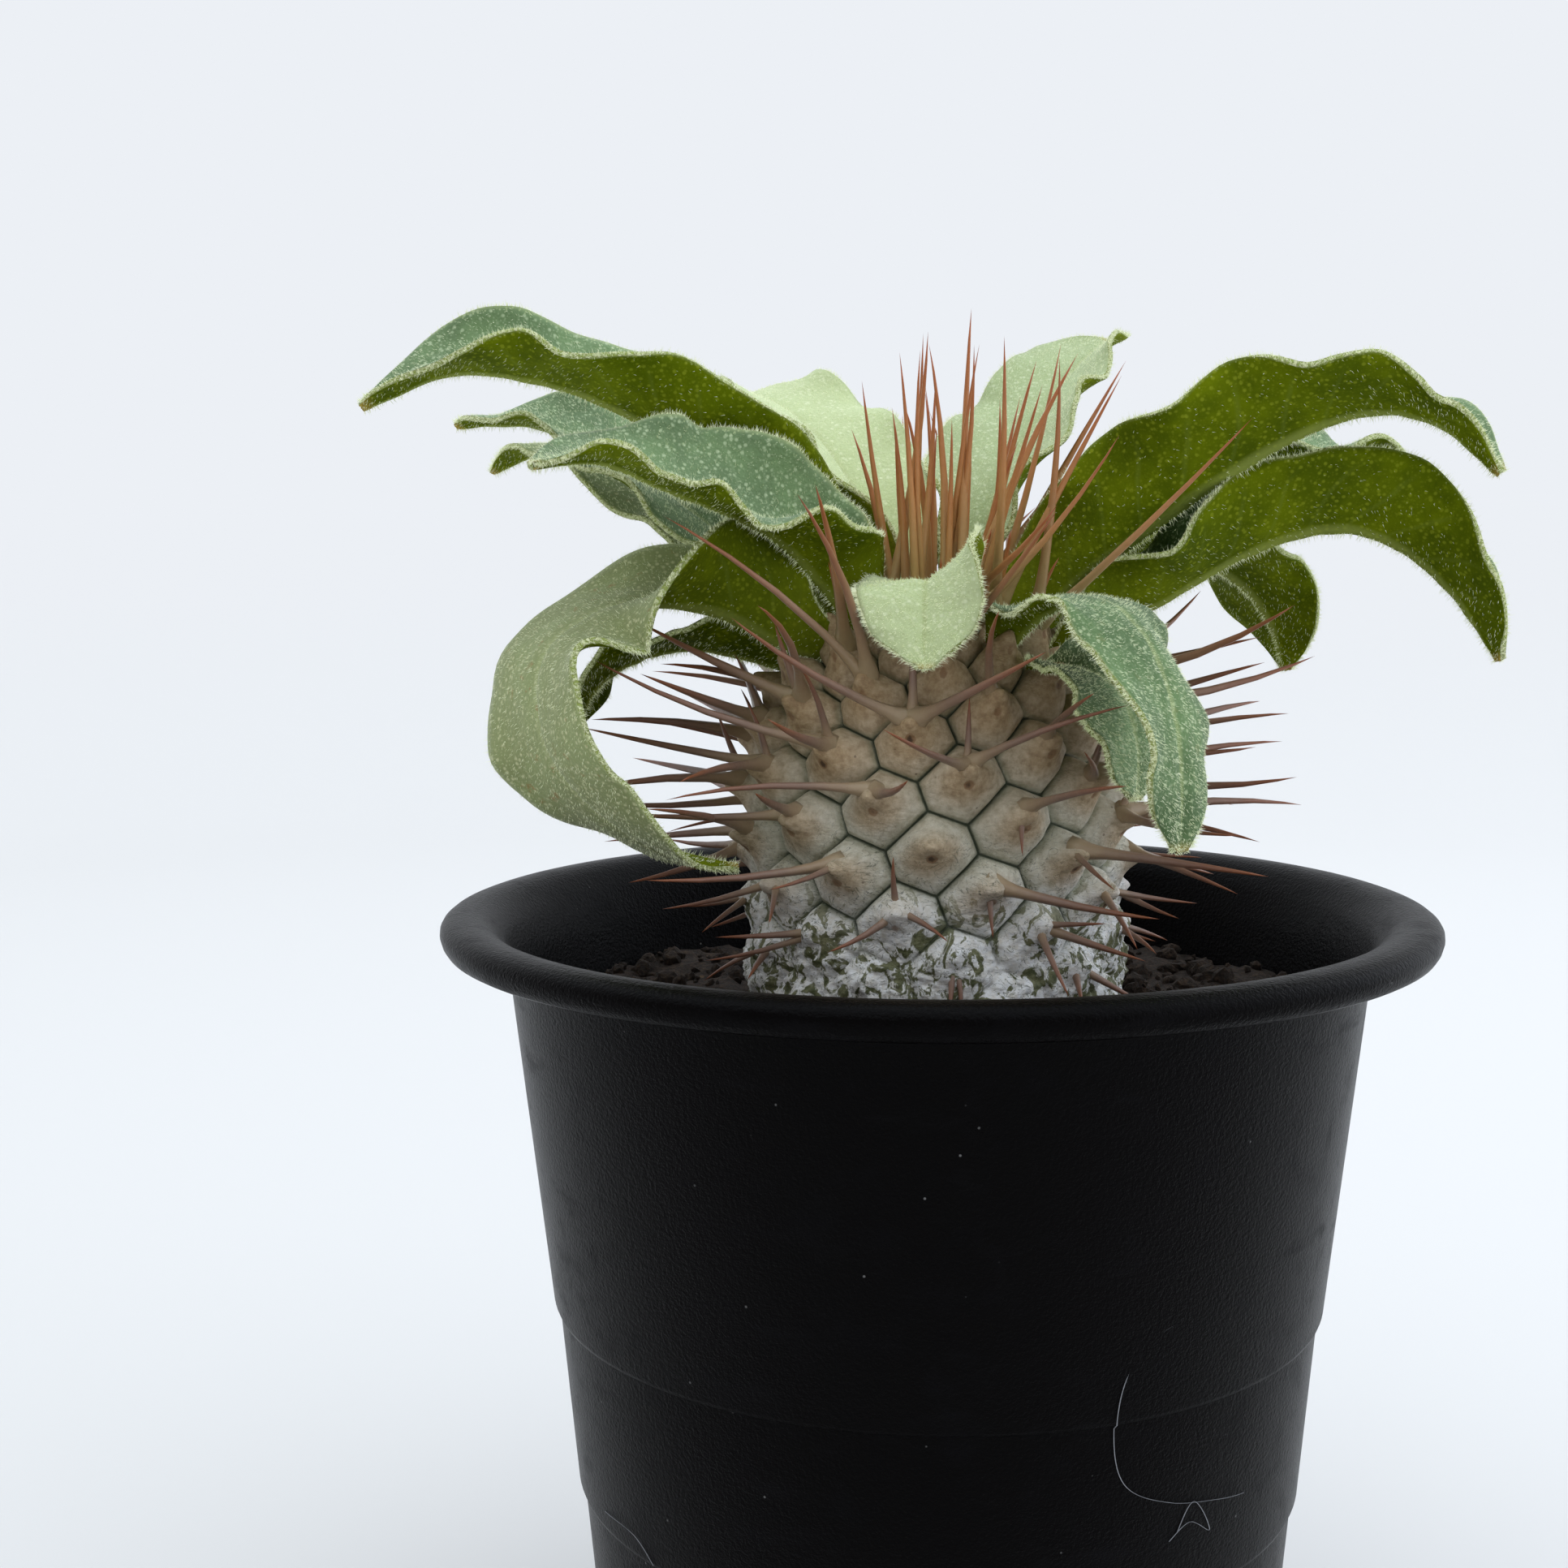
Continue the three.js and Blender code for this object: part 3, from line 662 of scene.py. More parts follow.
leafStyle = {
    "steps": 84,
    "strips": 22,
    "thickness": 0.62,
    "width": [0.25, 0.72, 0.95, 1, 0.97, 0.88, 0.66, 0.08],
    "wave": 7,  # in degrees, as the two next
    "waveShift": 70,
    "ripple": 5,
    "dimple": 0.16,
    "keel": 0.35,
    "baseFold": 0.75,
    "pale": {7: 0.7, 14: 0.58, 15: 0.8, 3: 0.3, 8: 0.04, 6: 0},  # by leaf number, as dry is; partly the leaves' own paler tone and partly painted light: a painted sheen on leaf 7 and painted light shining through leaves 14 and 15
    "usualPale": 0.15,
    "dry": {3: 0.8, 8: 0.2, 13: 0.8, 5: 0.6},
}
leaves = [  # bearing; midrib as (out, height, side) in mm; folds of the left and right halves, in degrees
    {"azimuth": 184, "halfWidth": 10, "waves": 4, "phase": 40,
     "rib": [(8, 28), (14, 35), (20, 42.5), (27, 49), (35, 53.5), (43, 56), (51, 56.5), (60, 53)],
     "left": [95, 87, 85, 50, 28, 18, 8, 10], "right": [80, 70, 54, 40, 38, 50, 50, 40]},
    {"azimuth": 212, "halfWidth": 10, "waves": 4, "phase": 200,
     "rib": [(9.5, 29.5), (13.5, 34), (18, 38.5), (24, 41.5), (31, 44), (38, 46.5), (45, 46)],
     "left": [60, 60, 15, -5, -5, 5, 0], "right": [100, 88, 76, 65, 50, 25, 0]},
    {"azimuth": 204, "halfWidth": 10.5, "waves": 3, "phase": 90,
     "rib": [(11, 26.5), (17, 28), (23, 31), (30, 32.5), (37, 31.5), (43, 27, 2), (43.5, 19, 5),
             (39, 12.5, 6), (32, 8, 7), (25, 6, 8)],
     "left": [60, 75, 85, 25, -15, -15, -15, -15, -10, 0], "right": [60, 60, 48, 22, 8, 10, 15, 15, 10, 0]},
    {"azimuth": 162, "halfWidth": 8.5, "waves": 4, "phase": 0,
     "rib": [(10, 27), (16, 32), (23, 38), (31, 44), (39, 49), (48, 52.3), (57.5, 52.5)],
     "left": [70, 35, 5, -5, 0, 5, 10], "right": [80, 60, 50, 35, 30, 30, 10]},
    {"azimuth": 146, "halfWidth": 8.5, "waves": 4, "phase": 120,
     "rib": [(12, 25.1), (18, 30.3), (26, 37), (35, 43), (45, 48), (55, 50.5), (66, 48)],
     "left": [60, 3, -6, -10, -10, 0, 0], "right": [80, 40, 20, 10, 10, 20, 20]},
    {"azimuth": 177, "halfWidth": 8.5, "waves": 3, "phase": 60,
     "rib": [(13.5, 24.3), (19, 26.2), (26, 27.5), (32, 26.3), (37, 23), (40, 17)],
     "left": [60, 35, 15, 10, 10, 0], "right": [45, 10, 5, 5, 0, 0]},
    {"azimuth": 268, "halfWidth": 7, "waves": 2, "phase": 0,
     "rib": [(10, 28), (12, 31), (15, 33.5), (19, 34.5), (22, 33), (24, 30), (25.5, 26.5)],
     "left": [70, 60, 45, 40, 40, 20, 0], "right": [70, 45, 12, -8, -8, 0, 0]},
    {"azimuth": 305, "halfWidth": 8, "waves": 3, "phase": 0,
     "rib": [(12, 27), (18, 31), (24, 33), (30, 32), (35, 28), (38, 22), (39, 16), (39, 10)],
     "left": [60, 20, -10, -30, -35, -30, -20, 0], "right": [80, 10, -5, 0, 10, 20, 20, 0]},
    {"azimuth": 320, "halfWidth": 7.5, "waves": 2.5, "phase": 90,
     "rib": [(14, 24.5), (18.5, 25.5), (22.5, 24.5), (25, 21.5), (26, 17.5), (26, 13)],
     "left": [60, 40, 20, 20, 10, 0], "right": [40, 10, 0, 0, 0, 0]},
    {"azimuth": 344, "halfWidth": 10.5, "waves": 5, "phase": -144,
     "rib": [(8, 28), (15, 34), (22, 39), (30, 44.5), (38, 49), (45, 50.8), (51, 49.3), (56.5, 44.5)],
     "left": [75, 72, 58, 45, 33, 20, 22, 30], "right": [70, 85, 75, 58, 43, 25, 18, 10]},
    {"azimuth": 356, "halfWidth": 10, "waves": 4, "phase": 180,
     "rib": [(12.8, 25), (19, 29.3), (26, 33.6), (33, 37.4), (41, 39.5), (48, 37.5), (54, 32), (58, 26)],
     "left": [70, 50, 40, 40, 45, 38, 45, 20], "right": [70, 48, 33, 44, 59, 50, 30, 10]},
    {"azimuth": 18, "halfWidth": 9, "waves": 4, "phase": 30,
     "rib": [(9, 29), (16, 34), (24, 39), (33, 44), (42, 47), (50, 47), (57, 43)],
     "left": [70, 60, 50, 40, 30, 20, 10], "right": [70, 50, 40, 30, 10, 10, 10]},
    {"azimuth": 38, "halfWidth": 9.5, "waves": 4, "phase": 100,
     "rib": [(12, 26), (20, 30), (28, 34), (37, 36), (45, 34), (51, 29), (54, 23)],
     "left": [70, 50, 30, 20, 10, 10, 10], "right": [70, 60, 50, 30, 20, 10, 10]},
    {"azimuth": 62, "halfWidth": 9, "waves": 4, "phase": 60,
     "rib": [(6.5, 30), (11, 38), (16, 45), (23, 50.5), (30, 55.5), (38, 60), (46, 63)],
     "left": [85, 72, 34, 14, 10, 20, 20], "right": [60, 45, 35, 30, 30, 30, 20]},
    {"azimuth": 127, "halfWidth": 9, "waves": 4, "phase": 150,
     "rib": [(6.5, 30), (10, 37.5), (15, 44.5), (22, 50.5), (30, 54.5), (38, 56), (45, 54)],
     "left": [80, 60, 35, 20, 15, 15, 10], "right": [85, 60, 30, 20, 20, 20, 10]},
]


def ribPoint(leaf, t):
    out, height, side = (along([(*entry, 0)[k] for entry in leaf["rib"]], t) for k in (0, 1, 2))
    return polar(out, leaf["azimuth"], height) + polar(side, leaf["azimuth"] + 90, 0)


def leafFrame(leaf, t):
    tangent = (ribPoint(leaf, min(1, t + 0.02)) - ribPoint(leaf, max(0, t - 0.02))).normalized()
    across = polar(1, leaf["azimuth"] + 90, 0)
    side = (across - tangent * across.dot(tangent)).normalized()
    return ribPoint(leaf, t), side, tangent.cross(side), tangent


def bladePoint(leaf, place, t, s, detail=1):  # s from 1, the left margin, over 0, the midrib, to -1
    point, side, normal, tangent = place
    width = leaf["halfWidth"] * along(leafStyle["width"], t) * abs(s)
    phase = 360 * leaf["waves"] * t + leaf["phase"] + (leafStyle["waveShift"] if s > 0 else 0)
    wave = leafStyle["wave"] * math.sin(math.radians(phase))
    ripple = detail * leafStyle["ripple"] * noise.noise(Vector((t * 14, s * 1.5, leaf["azimuth"])))
    opened = mix(leafStyle["baseFold"], 1, smooth(t, 0, 0.13))
    rise = along(leaf["left"] if s > 0 else leaf["right"], t) * opened * (0.6 + 0.4 * abs(s))
    fold = math.radians(rise + (wave + ripple) * s * s)
    shift = math.cos(fold) * width * (1 if s > 0 else -1)
    dimple = leafStyle["dimple"] * noise.noise(Vector((t * 22, s * 5, leaf["azimuth"] + 5)))
    keel = leafStyle["keel"] * math.exp(-(width / 0.7) ** 2)
    return point + side * shift + normal * (width * math.sin(fold) + detail * (dimple - keel))


def makeLeaf(number, leaf, paints):
    bm = bmesh.new()
    steps, strips = leafStyle["steps"], leafStyle["strips"]
    bmesh.ops.create_grid(bm, x_segments=steps, y_segments=strips, size=0.5)
    blade = bm.loops.layers.uv.new("blade")
    paleLayer = bm.verts.layers.float.new("pale")
    dryLayer = bm.verts.layers.float.new("dry")
    places = {}
    for face in bm.faces:
        for loop in face.loops:
            loop[blade].uv = (loop.vert.co.x + 0.5, loop.vert.co.y + 0.5)
    for vert in bm.verts:
        t, s = vert.co.x + 0.5, 2 * vert.co.y
        key = round(t * steps)
        if key not in places:
            places[key] = leafFrame(leaf, t)
        vert.co = toFrame(bladePoint(leaf, places[key], t, s))
        vert[paleLayer] = leafStyle["pale"].get(number, leafStyle["usualPale"])
        vert[dryLayer] = leafStyle["dry"].get(number, 0)
    piece = makePiece(f"blade_{number:02d}", bm, [f"leaf_{number:02d}"], paints)
    solid = piece.modifiers.new("thickness", "SOLIDIFY")
    solid.thickness = leafStyle["thickness"] * mm
    solid.offset = 0
    solid.material_offset = 1
    solid.material_offset_rim = 2


def bladeWires(paint):
    uv = paint.add("ShaderNodeUVMap", {"uv_map": "blade"}, {}, "UV")
    t, s = (paint.add("ShaderNodeSeparateXYZ", {}, {0: uv}, axis) for axis in ("X", "Y"))
    return t, paint.add("ShaderNodeMath", {"operation": "ABSOLUTE"}, {0: s * 2 - 1})


def veinWire(paint, t, across):  # side veins that leave the midrib at a slant
    slanted = (t - across * 0.09) * 13 + paint.noise(9, 2) * 0.5
    wave = paint.add("ShaderNodeMath", {"operation": "PINGPONG"}, {0: slanted, 1: 0.5})
    return (1 - paint.step(wave, 0.0, 0.09)) * (1 - paint.step(across, 0.6, 0.95))


def hairDots(paint):  # the pale feet of the velvet hairs
    large = 1 - paint.step(paint.cells(0.7), 0.14, 0.4)
    small = 1 - paint.step(paint.cells(0.36), 0.14, 0.4)
    return large, small


def leafTop():
    paint = Paint("leaf top")
    t, across = bladeWires(paint)
    pale, dry = paint.attribute("pale"), paint.attribute("dry")
    broad = paint.noise(8, 3, 0.6)
    large, small = hairDots(paint)
    vein = veinWire(paint, t, across)
    green = paint.tint(paint.step(broad, 0.35, 0.7), (0.045, 0.115, 0.048), (0.105, 0.21, 0.085))
    # painted light in part: the pale blend lightens whole leaves, partly for their own paler tone and
    # partly as a painted sheen and light shining through them
    green = paint.tint(pale, green, (0.68, 0.76, 0.42))
    green = paint.tint(dry * 0.55, green, (0.28, 0.28, 0.09))
    cream = paint.tint(dry, (0.52, 0.64, 0.4), (0.6, 0.56, 0.28))
    cream = paint.tint(pale, cream, (0.85, 0.88, 0.62))
    colour = paint.tint(large * 0.55 + small * 0.25, green, cream)
    colour = paint.tint(vein * 0.08, colour, cream)
    colour = paint.tint((1 - paint.step(across, 0.02, 0.09)) * 0.35, colour, (0.42, 0.47, 0.2))
    edge = paint.step(across + (small - 0.5) * 0.04, 0.93, 0.99)
    colour = paint.tint(edge * 0.5, colour, (0.5, 0.58, 0.28))
    blotch = paint.step(paint.noise(1.6, 3, 0.7), 0.6, 0.68) * paint.step(broad, 0.42, 0.6) * dry
    colour = paint.tint(blotch * 0.75, colour, (0.3, 0.17, 0.05))
    colour = paint.tint(paint.step(t, 0.96, 1.0) * 0.7, colour, (0.5, 0.36, 0.1))
    return paint.finish(colour, 0.85, paint.noise(0.4, 1), 0.12, Sheen_Weight=0.2, Sheen_Roughness=0.4,
                        Specular_IOR_Level=0.15)


def leafUnder():
    paint = Paint("leaf underside")
    t, across = bladeWires(paint)
    pale, dry = paint.attribute("pale"), paint.attribute("dry")
    broad = paint.noise(6, 3, 0.65)
    large, small = hairDots(paint)
    vein = veinWire(paint, t, across)
    green = paint.tint(paint.step(broad, 0.3, 0.75), (0.05, 0.08, 0.0002), (0.13, 0.175, 0.0008))
    # the pale blend again: partly the leaves' own paler tone and partly painted light shining through them
    green = paint.tint(pale * 0.5, green, (0.34, 0.4, 0.03))
    colour = paint.tint(large * 0.35 + small * 0.12, green, (0.38, 0.44, 0.03))
    colour = paint.tint(vein * 0.1, colour, (0.3, 0.38, 0.08))
    colour = paint.tint((1 - paint.step(across, 0.03, 0.13)) * 0.6, colour, (0.36, 0.42, 0.1))
    colour = paint.tint((1 - paint.step(t, 0.02, 0.3)) * 0.3, colour, (0.24, 0.3, 0.02))
    edge = paint.step(across + (small - 0.5) * 0.04, 0.95, 1.0)
    colour = paint.tint(edge * 0.4, colour, (0.45, 0.52, 0.2))
    colour = paint.tint(paint.step(t, 0.96, 1.0) * 0.7, colour, (0.5, 0.34, 0.08))
    return paint.finish(colour, 0.8, paint.noise(0.4, 1), 0.08, Specular_IOR_Level=0.03)


def marginPaint():
    paint = Paint("leaf margin")
    speckle = paint.step(paint.noise(0.35, 2), 0.4, 0.65)
    colour = paint.tint(speckle, (0.3, 0.36, 0.1), (0.72, 0.75, 0.45))
    return paint.finish(colour, 0.9, speckle, 0.15, Specular_IOR_Level=0.1)


def makeLeaves():
    paints = [leafTop(), leafUnder(), marginPaint()]
    for i, leaf in enumerate(leaves):
        makeLeaf(i + 1, leaf, paints)


# Velvet: short pale hairs along the margins and the keel and, shorter still, on both faces

velvet = {
    "steps": 128,
    "perMargin": 10,
    "perKeel": 4,
    "perFace": 40,
    "doublings": 13,  # as many hairs as the steps and counts above come to
    "marginLength": (0.3, 0.9),
    "faceLength": (0.25, 0.55),
    "thickness": 0.036,
}


def hairField():  # one thin cone, doubled until there is one for each hair of a leaf
    bm = bmesh.new()
    bmesh.ops.create_cone(bm, cap_ends=False, segments=3, radius1=1, radius2=0, depth=1,
                          matrix=Matrix.Translation((0, 0, 0.5)))
    bmesh.ops.remove_doubles(bm, verts=bm.verts, dist=0.01)
    mesh = meshOf("hairs", bm)
    for i in range(velvet["doublings"]):
        bm = bmesh.new()
        bm.from_mesh(mesh)
        bm.from_mesh(mesh)
        bm.to_mesh(mesh)
        bm.free()
    return mesh


def hairPlace(foot, way, length):
    turn = way.to_track_quat("Z", "Y").to_matrix().to_4x4()
    size = Matrix.Diagonal((velvet["thickness"] * mm, velvet["thickness"] * mm, length * mm, 1))
    return Matrix.Translation(toFrame(foot - way * 0.1)) @ turn @ size


def hairsOfLeaf(number, leaf):
    hairs = []
    draw = number * 50000
    half = leafStyle["thickness"] / 2
    for i in range(velvet["steps"]):
        t = (i + 0.5) / velvet["steps"]
        place = leafFrame(leaf, t)
        _, side, normal, tangent = place
        edges = {s: bladePoint(leaf, place, t, s) for s in (-1, -0.96, 0, 0.96, 1)}
        for k in range(2 * velvet["perMargin"] + velvet["perKeel"] + velvet["perFace"]):
            draw += 5
            r = [seeded(draw + j) - 0.5 for j in range(5)]
            if k < 2 * velvet["perMargin"]:
                s = 1 if k % 2 else -1
                outward = (edges[s] - edges[0.96 * s]).normalized()
                upward = outward.cross(tangent)
                way = (outward + tangent * (r[0] * 0.9 + 0.25) + upward * 1.8 * r[1]).normalized()
                foot = edges[s] + tangent * r[2] * 0.5 + upward * r[3] * 0.5
                length = mix(*velvet["marginLength"], (r[4] + 0.5) ** 1.5)
            elif k < 2 * velvet["perMargin"] + velvet["perKeel"]:
                way = (tangent * r[0] + side * 1.4 * r[1] - normal).normalized()
                foot = edges[0] - normal * half + tangent * r[2] * 0.5 + side * r[3] * 0.6
                length = mix(*velvet["marginLength"], r[4] + 0.5)
            else:
                s, face = 1.94 * r[0], 1 if k % 4 else -1
                foot = bladePoint(leaf, place, t, s)
                across = (bladePoint(leaf, place, t, s + 0.02) - foot).normalized()
                away = tangent.cross(across) * face
                way = (away + tangent * (0.7 + r[1]) + across * 1.4 * r[2]).normalized()
                foot += away * half + tangent * r[3] * 0.5
                length = mix(*velvet["faceLength"], r[4] + 0.5)
            hairs.append(hairPlace(foot, way, length))
    return hairs


def makeVelvet(number, leaf, field, material):
    bm = bmesh.new()
    bm.from_mesh(field)
    points = list(bm.verts)
    hairs = hairsOfLeaf(number, leaf)
    corners = len(points) // len(hairs)
    for k, vert in enumerate(points):
        vert.co = hairs[k // corners] @ vert.co
    makePiece(f"velvet_{number:02d}", bm, [], [material], shade=False)


def velvetPaint():
    paint = Paint("velvet hair")
    colour = paint.tint(paint.noise(1.5, 1), (0.66, 0.72, 0.42), (0.92, 0.93, 0.76))
    # painted light: the hairs glow faintly, standing in for light passing through them, so they stay bright
    # in shadow
    return paint.finish(colour, 0.7, Emission_Color=(0.8, 0.9, 0.55), Emission_Strength=0.12)


makeLeaves()
field, hair = hairField(), velvetPaint()
for i, leaf in enumerate(leaves):
    makeVelvet(i + 1, leaf, field, hair)
print("leaves made")


# Spines: pairs spread from every tubercle, a short one above them, and the crown's tuft

spine = {
    "lowestPair": -23,
    "highestPair": 34,
    "lowestShort": -8,
    "shortRise": 68,
    "shortLength": (4, 9),
    "rises": [-22, -14, -4, 6, 18, 34, 50, 66, 80],  # from the lowest pair to the highest
    "lengths": [6, 9, 17, 18, 20, 24, 27, 28, 26],
    "spread": 45,
    "radius": 0.5,
    "sink": 1.5,
    "nippleTop": 4,  # how far above the smooth stem the spines come out
    "nippleShift": 0.9,  # how far up the cell, in pairs
    "clearance": 1.7,  # the least distance from a leaf's middle surface
    "leafSteps": 50,  # the points of a leaf that are tested, along it and on each half
    "leafStrips": 4,
    "bend": 0.09,
    "dodges": [(0, 0), (9, 0), (-9, 0), (0, 9), (0, -9), (18, 0), (-18, 0), (0, 18), (27, 9), (-27, 9),
               (36, 0), (-36, 0)],
    "crownSpines": 34,
    "crownRadius": 6,
    "crownTurn": 137.5,
    "crownRise": (86, 60),  # from the middle outwards
    "crownLength": (22, 34),
    "foot": 2.5,
    "shape": [(0.05, 2.1), (0.1, 1.5), (0.16, 1.15), (0.26, 0.95), (0.5, 0.74), (0.72, 0.5), (0.9, 0.24),
              (1, 0.02)],  # share of the length and share of the radius
    "sides": 7,
    "measured": {  # by (pair, half): each spine's turn from its tubercle's bearing, its rise and its length
        (10, 0): [(-53, 38, 25), (40, 45, 24), (5, 75, 7)],
        (5, 0): [(-50, 28, 21), (43, 20, 20.5), (-10, 72, 9.8)],
        (8, 1): [(-28, 30, 16), (45, 27, 21), (0, 70, 8)],
        (0, 0): [(-34, 15, 18), (43, 20, 18), (-3, 75, 5.5)],
        (2, 1): [(-43, 21, 23.5), (14, 14, 14), (12, 50, 10)],
        (-3, 1): [(-53, 0, 19.5), (29, 10, 15)],
        (-5, 0): [(8, 12, 19), (-30, -60, 3.5)],
        (3, 1): [(-18, 15, 20), (45, 22, 22), (5, 66, 8.5)],
        (-8, 1): [],
        (-6, 0): [(-40, 0, 18), (30, 15, 12)],
        (-11, 0): [(-45, -1, 19), (-12, -8, 9)],
        (-13, 1): [(49, -7, 16), (-5, -72, 4)],
        (-10, 0): [(18, -3, 19), (-22, -14, 9)],
        (-16, 0): [(-50, -24, 7), (50, -14, 6.5), (0, 72, 4.5)],
        (-18, 1): [(36, -14, 10), (-10, -38, 8), (30, 6, 6)],
        (-19, 1): [(-50, -3, 9), (-62, -16, 11)],
        (-21, 0): [(-15, -66, 4.5), (15, -72, 5)],
    },
}


def spineMesh():  # a unit spine along Z, with its share of the length kept in a layer
    bm = bmesh.new()
    share = bm.verts.layers.float.new("share")
    bmesh.ops.create_circle(bm, cap_ends=True, segments=spine["sides"], radius=spine["foot"])
    rim = list(bm.edges)
    last = (0, spine["foot"])
    for height, radius in spine["shape"]:
        rim, points = growEdges(bm, rim)
        bmesh.ops.scale(bm, vec=(radius / last[1], radius / last[1], 1), verts=points)
        bmesh.ops.translate(bm, vec=(0, 0, height - last[0]), verts=points)
        last = (height, radius)
    bmesh.ops.remove_doubles(bm, verts=points, dist=0.05)
    for vert in bm.verts:
        vert[share] = vert.co.z
    bmesh.ops.recalc_face_normals(bm, faces=bm.faces)
    return meshOf("spine", bm)


def leafSamples():
    steps, strips = spine["leafSteps"], spine["leafStrips"]
    points = []
    for leaf in leaves:
        for i in range(1, steps + 1):
            t = i / steps
            place = leafFrame(leaf, t)
            points += [bladePoint(leaf, place, t, j / strips, 0) for j in range(-strips, strips + 1)]
    return points


samples = leafSamples()


def passesLeaves(start, tip):
    line = tip - start
    for point in samples:
        t = min(max((point - start).dot(line) / line.length_squared, 0), 1)
        if (start + line * t - point).length_squared < spine["clearance"] ** 2:
            return False
    return True


def spineFrom(start, bearing, rise, length):
    for turn, lift in spine["dodges"]:
        elevation = math.radians(rise + lift)
        tip = start + polar(length * math.cos(elevation), bearing + turn, length * math.sin(elevation))
        if passesLeaves(start, tip):
            return [(start, tip)]
    return []


def spinesByRule(n, half):
    t = (n - spine["lowestPair"]) / (spine["highestPair"] - spine["lowestPair"])
    wanted = []
    for side in (-1, 1):
        draw = 4 * n + 2 * half + side + 300
        turn = side * spine["spread"] * mix(0.8, 1.2, seeded(draw))
        rise = along(spine["rises"], t) + mix(-9, 9, seeded(draw + 500))
        length = along(spine["lengths"], t) * mix(0.85, 1.15, seeded(draw + 900))
        wanted.append((turn, rise, length))
    if n >= spine["lowestShort"]:
        turn = mix(-15, 15, seeded(2 * n + half))
        length = mix(*spine["shortLength"], seeded(2 * n + half + 60))
        wanted.append((turn, spine["shortRise"], length))
    return wanted


def spinesOfPair(n):
    found = []
    for half in (0, 1):
        azimuth = stem["firstAzimuth"] + stem["pairTurn"] * n + 180 * half
        z, r, _, _ = outlineAt(n)
        lift = ageAt(z) * spine["nippleTop"] * min(1, r / stem["fullRadius"])
        start = bodyPoint(azimuth, n + spine["nippleShift"] * ageAt(z), lift - spine["sink"])
        known = (n, half) in spine["measured"]
        wanted = spine["measured"][n, half] if known else spinesByRule(n, half)
        for turn, rise, length in wanted:
            found += spineFrom(start, azimuth + turn, rise, length + spine["sink"])
    return found


def spineOfCrown(i):
    out = i / spine["crownSpines"]
    start = polar(spine["crownRadius"] * math.sqrt(out), spine["crownTurn"] * i, stem["crown"] - 4)
    rise = mix(*spine["crownRise"], out) + mix(-5, 5, seeded(i + 40))
    return spineFrom(start, spine["crownTurn"] * i, rise, mix(*spine["crownLength"], seeded(i + 80)))


def addSpine(bm, mesh, start, tip, number, young):
    shareLayer = bm.verts.layers.float["share"]
    youngLayer = bm.verts.layers.float["young"]
    known = len(bm.verts)
    bm.from_mesh(mesh)
    bm.verts.ensure_lookup_table()
    axis = tip - start
    turn = axis.to_track_quat("Z", "Y").to_matrix()
    bend = Vector((seeded(number) - 0.5, seeded(number + 31) - 0.5, 0)) * axis.length * spine["bend"]
    thick = spine["radius"] * mix(0.85, 1.2, seeded(number + 7)) * min(1, 0.55 + axis.length / 40)
    for vert in list(bm.verts)[known:]:
        h = vert.co.z
        local = Vector((vert.co.x * thick, vert.co.y * thick, h * axis.length)) + bend * (4 * h * (1 - h))
        vert.co = toFrame(start + turn @ local)
        vert[shareLayer] = h
        vert[youngLayer] = young


def makeSpines():
    mesh = spineMesh()
    bm = bmesh.new()
    bm.verts.layers.float.new("share")
    bm.verts.layers.float.new("young")
    number = 0
    for n in range(spine["lowestPair"], spine["highestPair"] + 1):
        for start, tip in spinesOfPair(n):
            number += 1
            addSpine(bm, mesh, start, tip, number, smooth(n, 2, 26))
    for i in range(1, spine["crownSpines"] + 1):
        for start, tip in spineOfCrown(i):
            number += 1
            addSpine(bm, mesh, start, tip, number, 1)
    print("spines:", number)
    makePiece("spines", bm, ["stem"], [spinePaint()])


def spinePaint():
    paint = Paint("spine")
    young = paint.attribute("young")
    streak = paint.noise(1.2, 3, 0.6)
    share = paint.attribute("share") + (streak - 0.5) * 0.15
    aged = paint.ramp(share, [
        (0.0, (0.46, 0.36, 0.23)), (0.14, (0.38, 0.27, 0.17)), (0.35, (0.26, 0.165, 0.12)),
        (0.65, (0.23, 0.11, 0.07)), (1.0, (0.27, 0.075, 0.02)),
    ])
    fresh = paint.ramp(share, [
        (0.0, (0.45, 0.36, 0.17)), (0.2, (0.45, 0.29, 0.12)), (0.55, (0.5, 0.22, 0.07)),
        (1.0, (0.36, 0.075, 0.015)),
    ])
    return paint.finish(paint.tint(young, aged, fresh), 0.4, streak, 0.1)


makeSpines()
print("spines made")


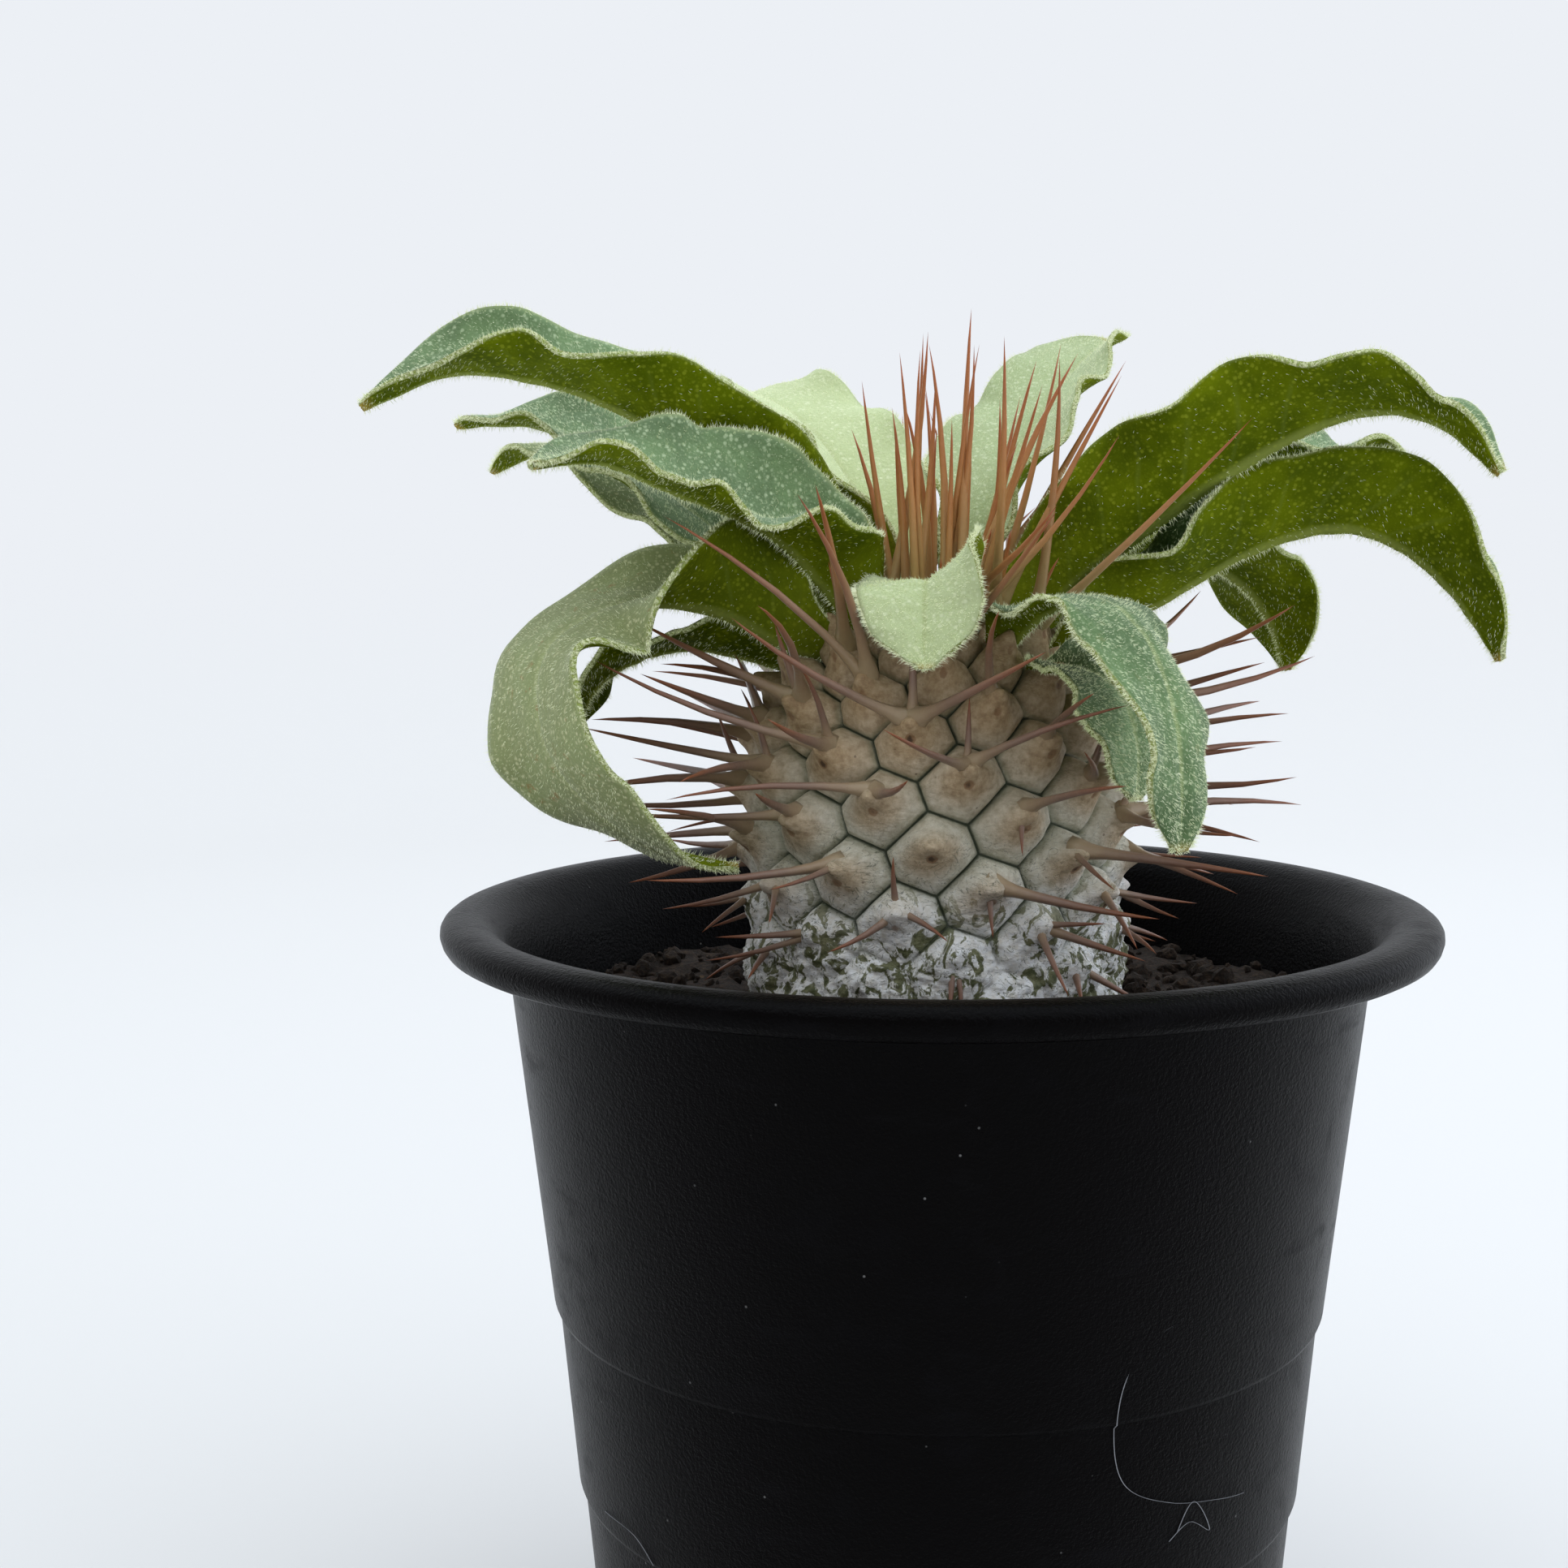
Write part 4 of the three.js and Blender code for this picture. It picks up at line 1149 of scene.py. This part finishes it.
# A pale floor that curves up to a wall, open to a soft light above

studio = {
    "floorRadius": 750,
    "bend": 350,
    "bendSteps": 12,
    "wallHeight": 1150,
    "turns": 96,
    "pale": (0.76, 0.75, 0.74),
    "behind": (0.84, 0.87, 0.915),
    "front": (0.55, 0.55, 0.55),
    "right": (1.5, 1.6, 1.75),
    "sky": (0.86, 0.93, 1.0),
    "skyStrength": 1.7,
    "glowStarts": (0.0, 0.16),  # height of the wall in metres, as the two next along Y and X
    "frontToBack": (-0.5, 0.3),
    "rightStarts": (0.6, 0.85),
}


def backdropPaint():  # the wall glows, least in front and most at the right
    paint = Paint("backdrop")
    parts = [paint.add("ShaderNodeSeparateXYZ", {}, {0: paint.place}, axis) for axis in ("X", "Y", "Z")]
    wall = paint.step(parts[2], *studio["glowStarts"])
    glow = paint.tint(paint.step(parts[1], *studio["frontToBack"]), studio["front"], studio["behind"])
    glow = paint.tint(paint.step(parts[0], *studio["rightStarts"]), glow, studio["right"])
    paint.feed(paint.shader.inputs["Emission Color"], paint.tint(wall, (0, 0, 0), glow))
    colour = paint.tint(wall, studio["pale"], (0, 0, 0))
    return paint.finish(colour, 0.9, Emission_Strength=1, Specular_IOR_Level=0)


def makeStudio():
    profile = [(0, 0)]
    for i in range(studio["bendSteps"] + 1):
        angle = math.pi / 2 * i / studio["bendSteps"]
        out = studio["floorRadius"] + studio["bend"] * math.sin(angle)
        profile.append((out, studio["bend"] * (1 - math.cos(angle))))
    profile.append((profile[-1][0], studio["wallHeight"]))
    bm = spinProfile(profile, studio["turns"])
    mesh = meshOf("backdrop", bm)
    mesh.shade_smooth()
    mesh.materials.append(backdropPaint())
    backdrop = addObject("backdrop", mesh)
    world = bpy.data.worlds.new("sky")
    world.use_nodes = True
    background = world.node_tree.nodes["Background"]
    background.inputs["Color"].default_value = (*studio["sky"], 1)
    background.inputs["Strength"].default_value = studio["skyStrength"]
    bpy.context.scene.world = world
    bpy.context.scene.view_settings.view_transform = "Standard"


makeStudio()
print("studio made")
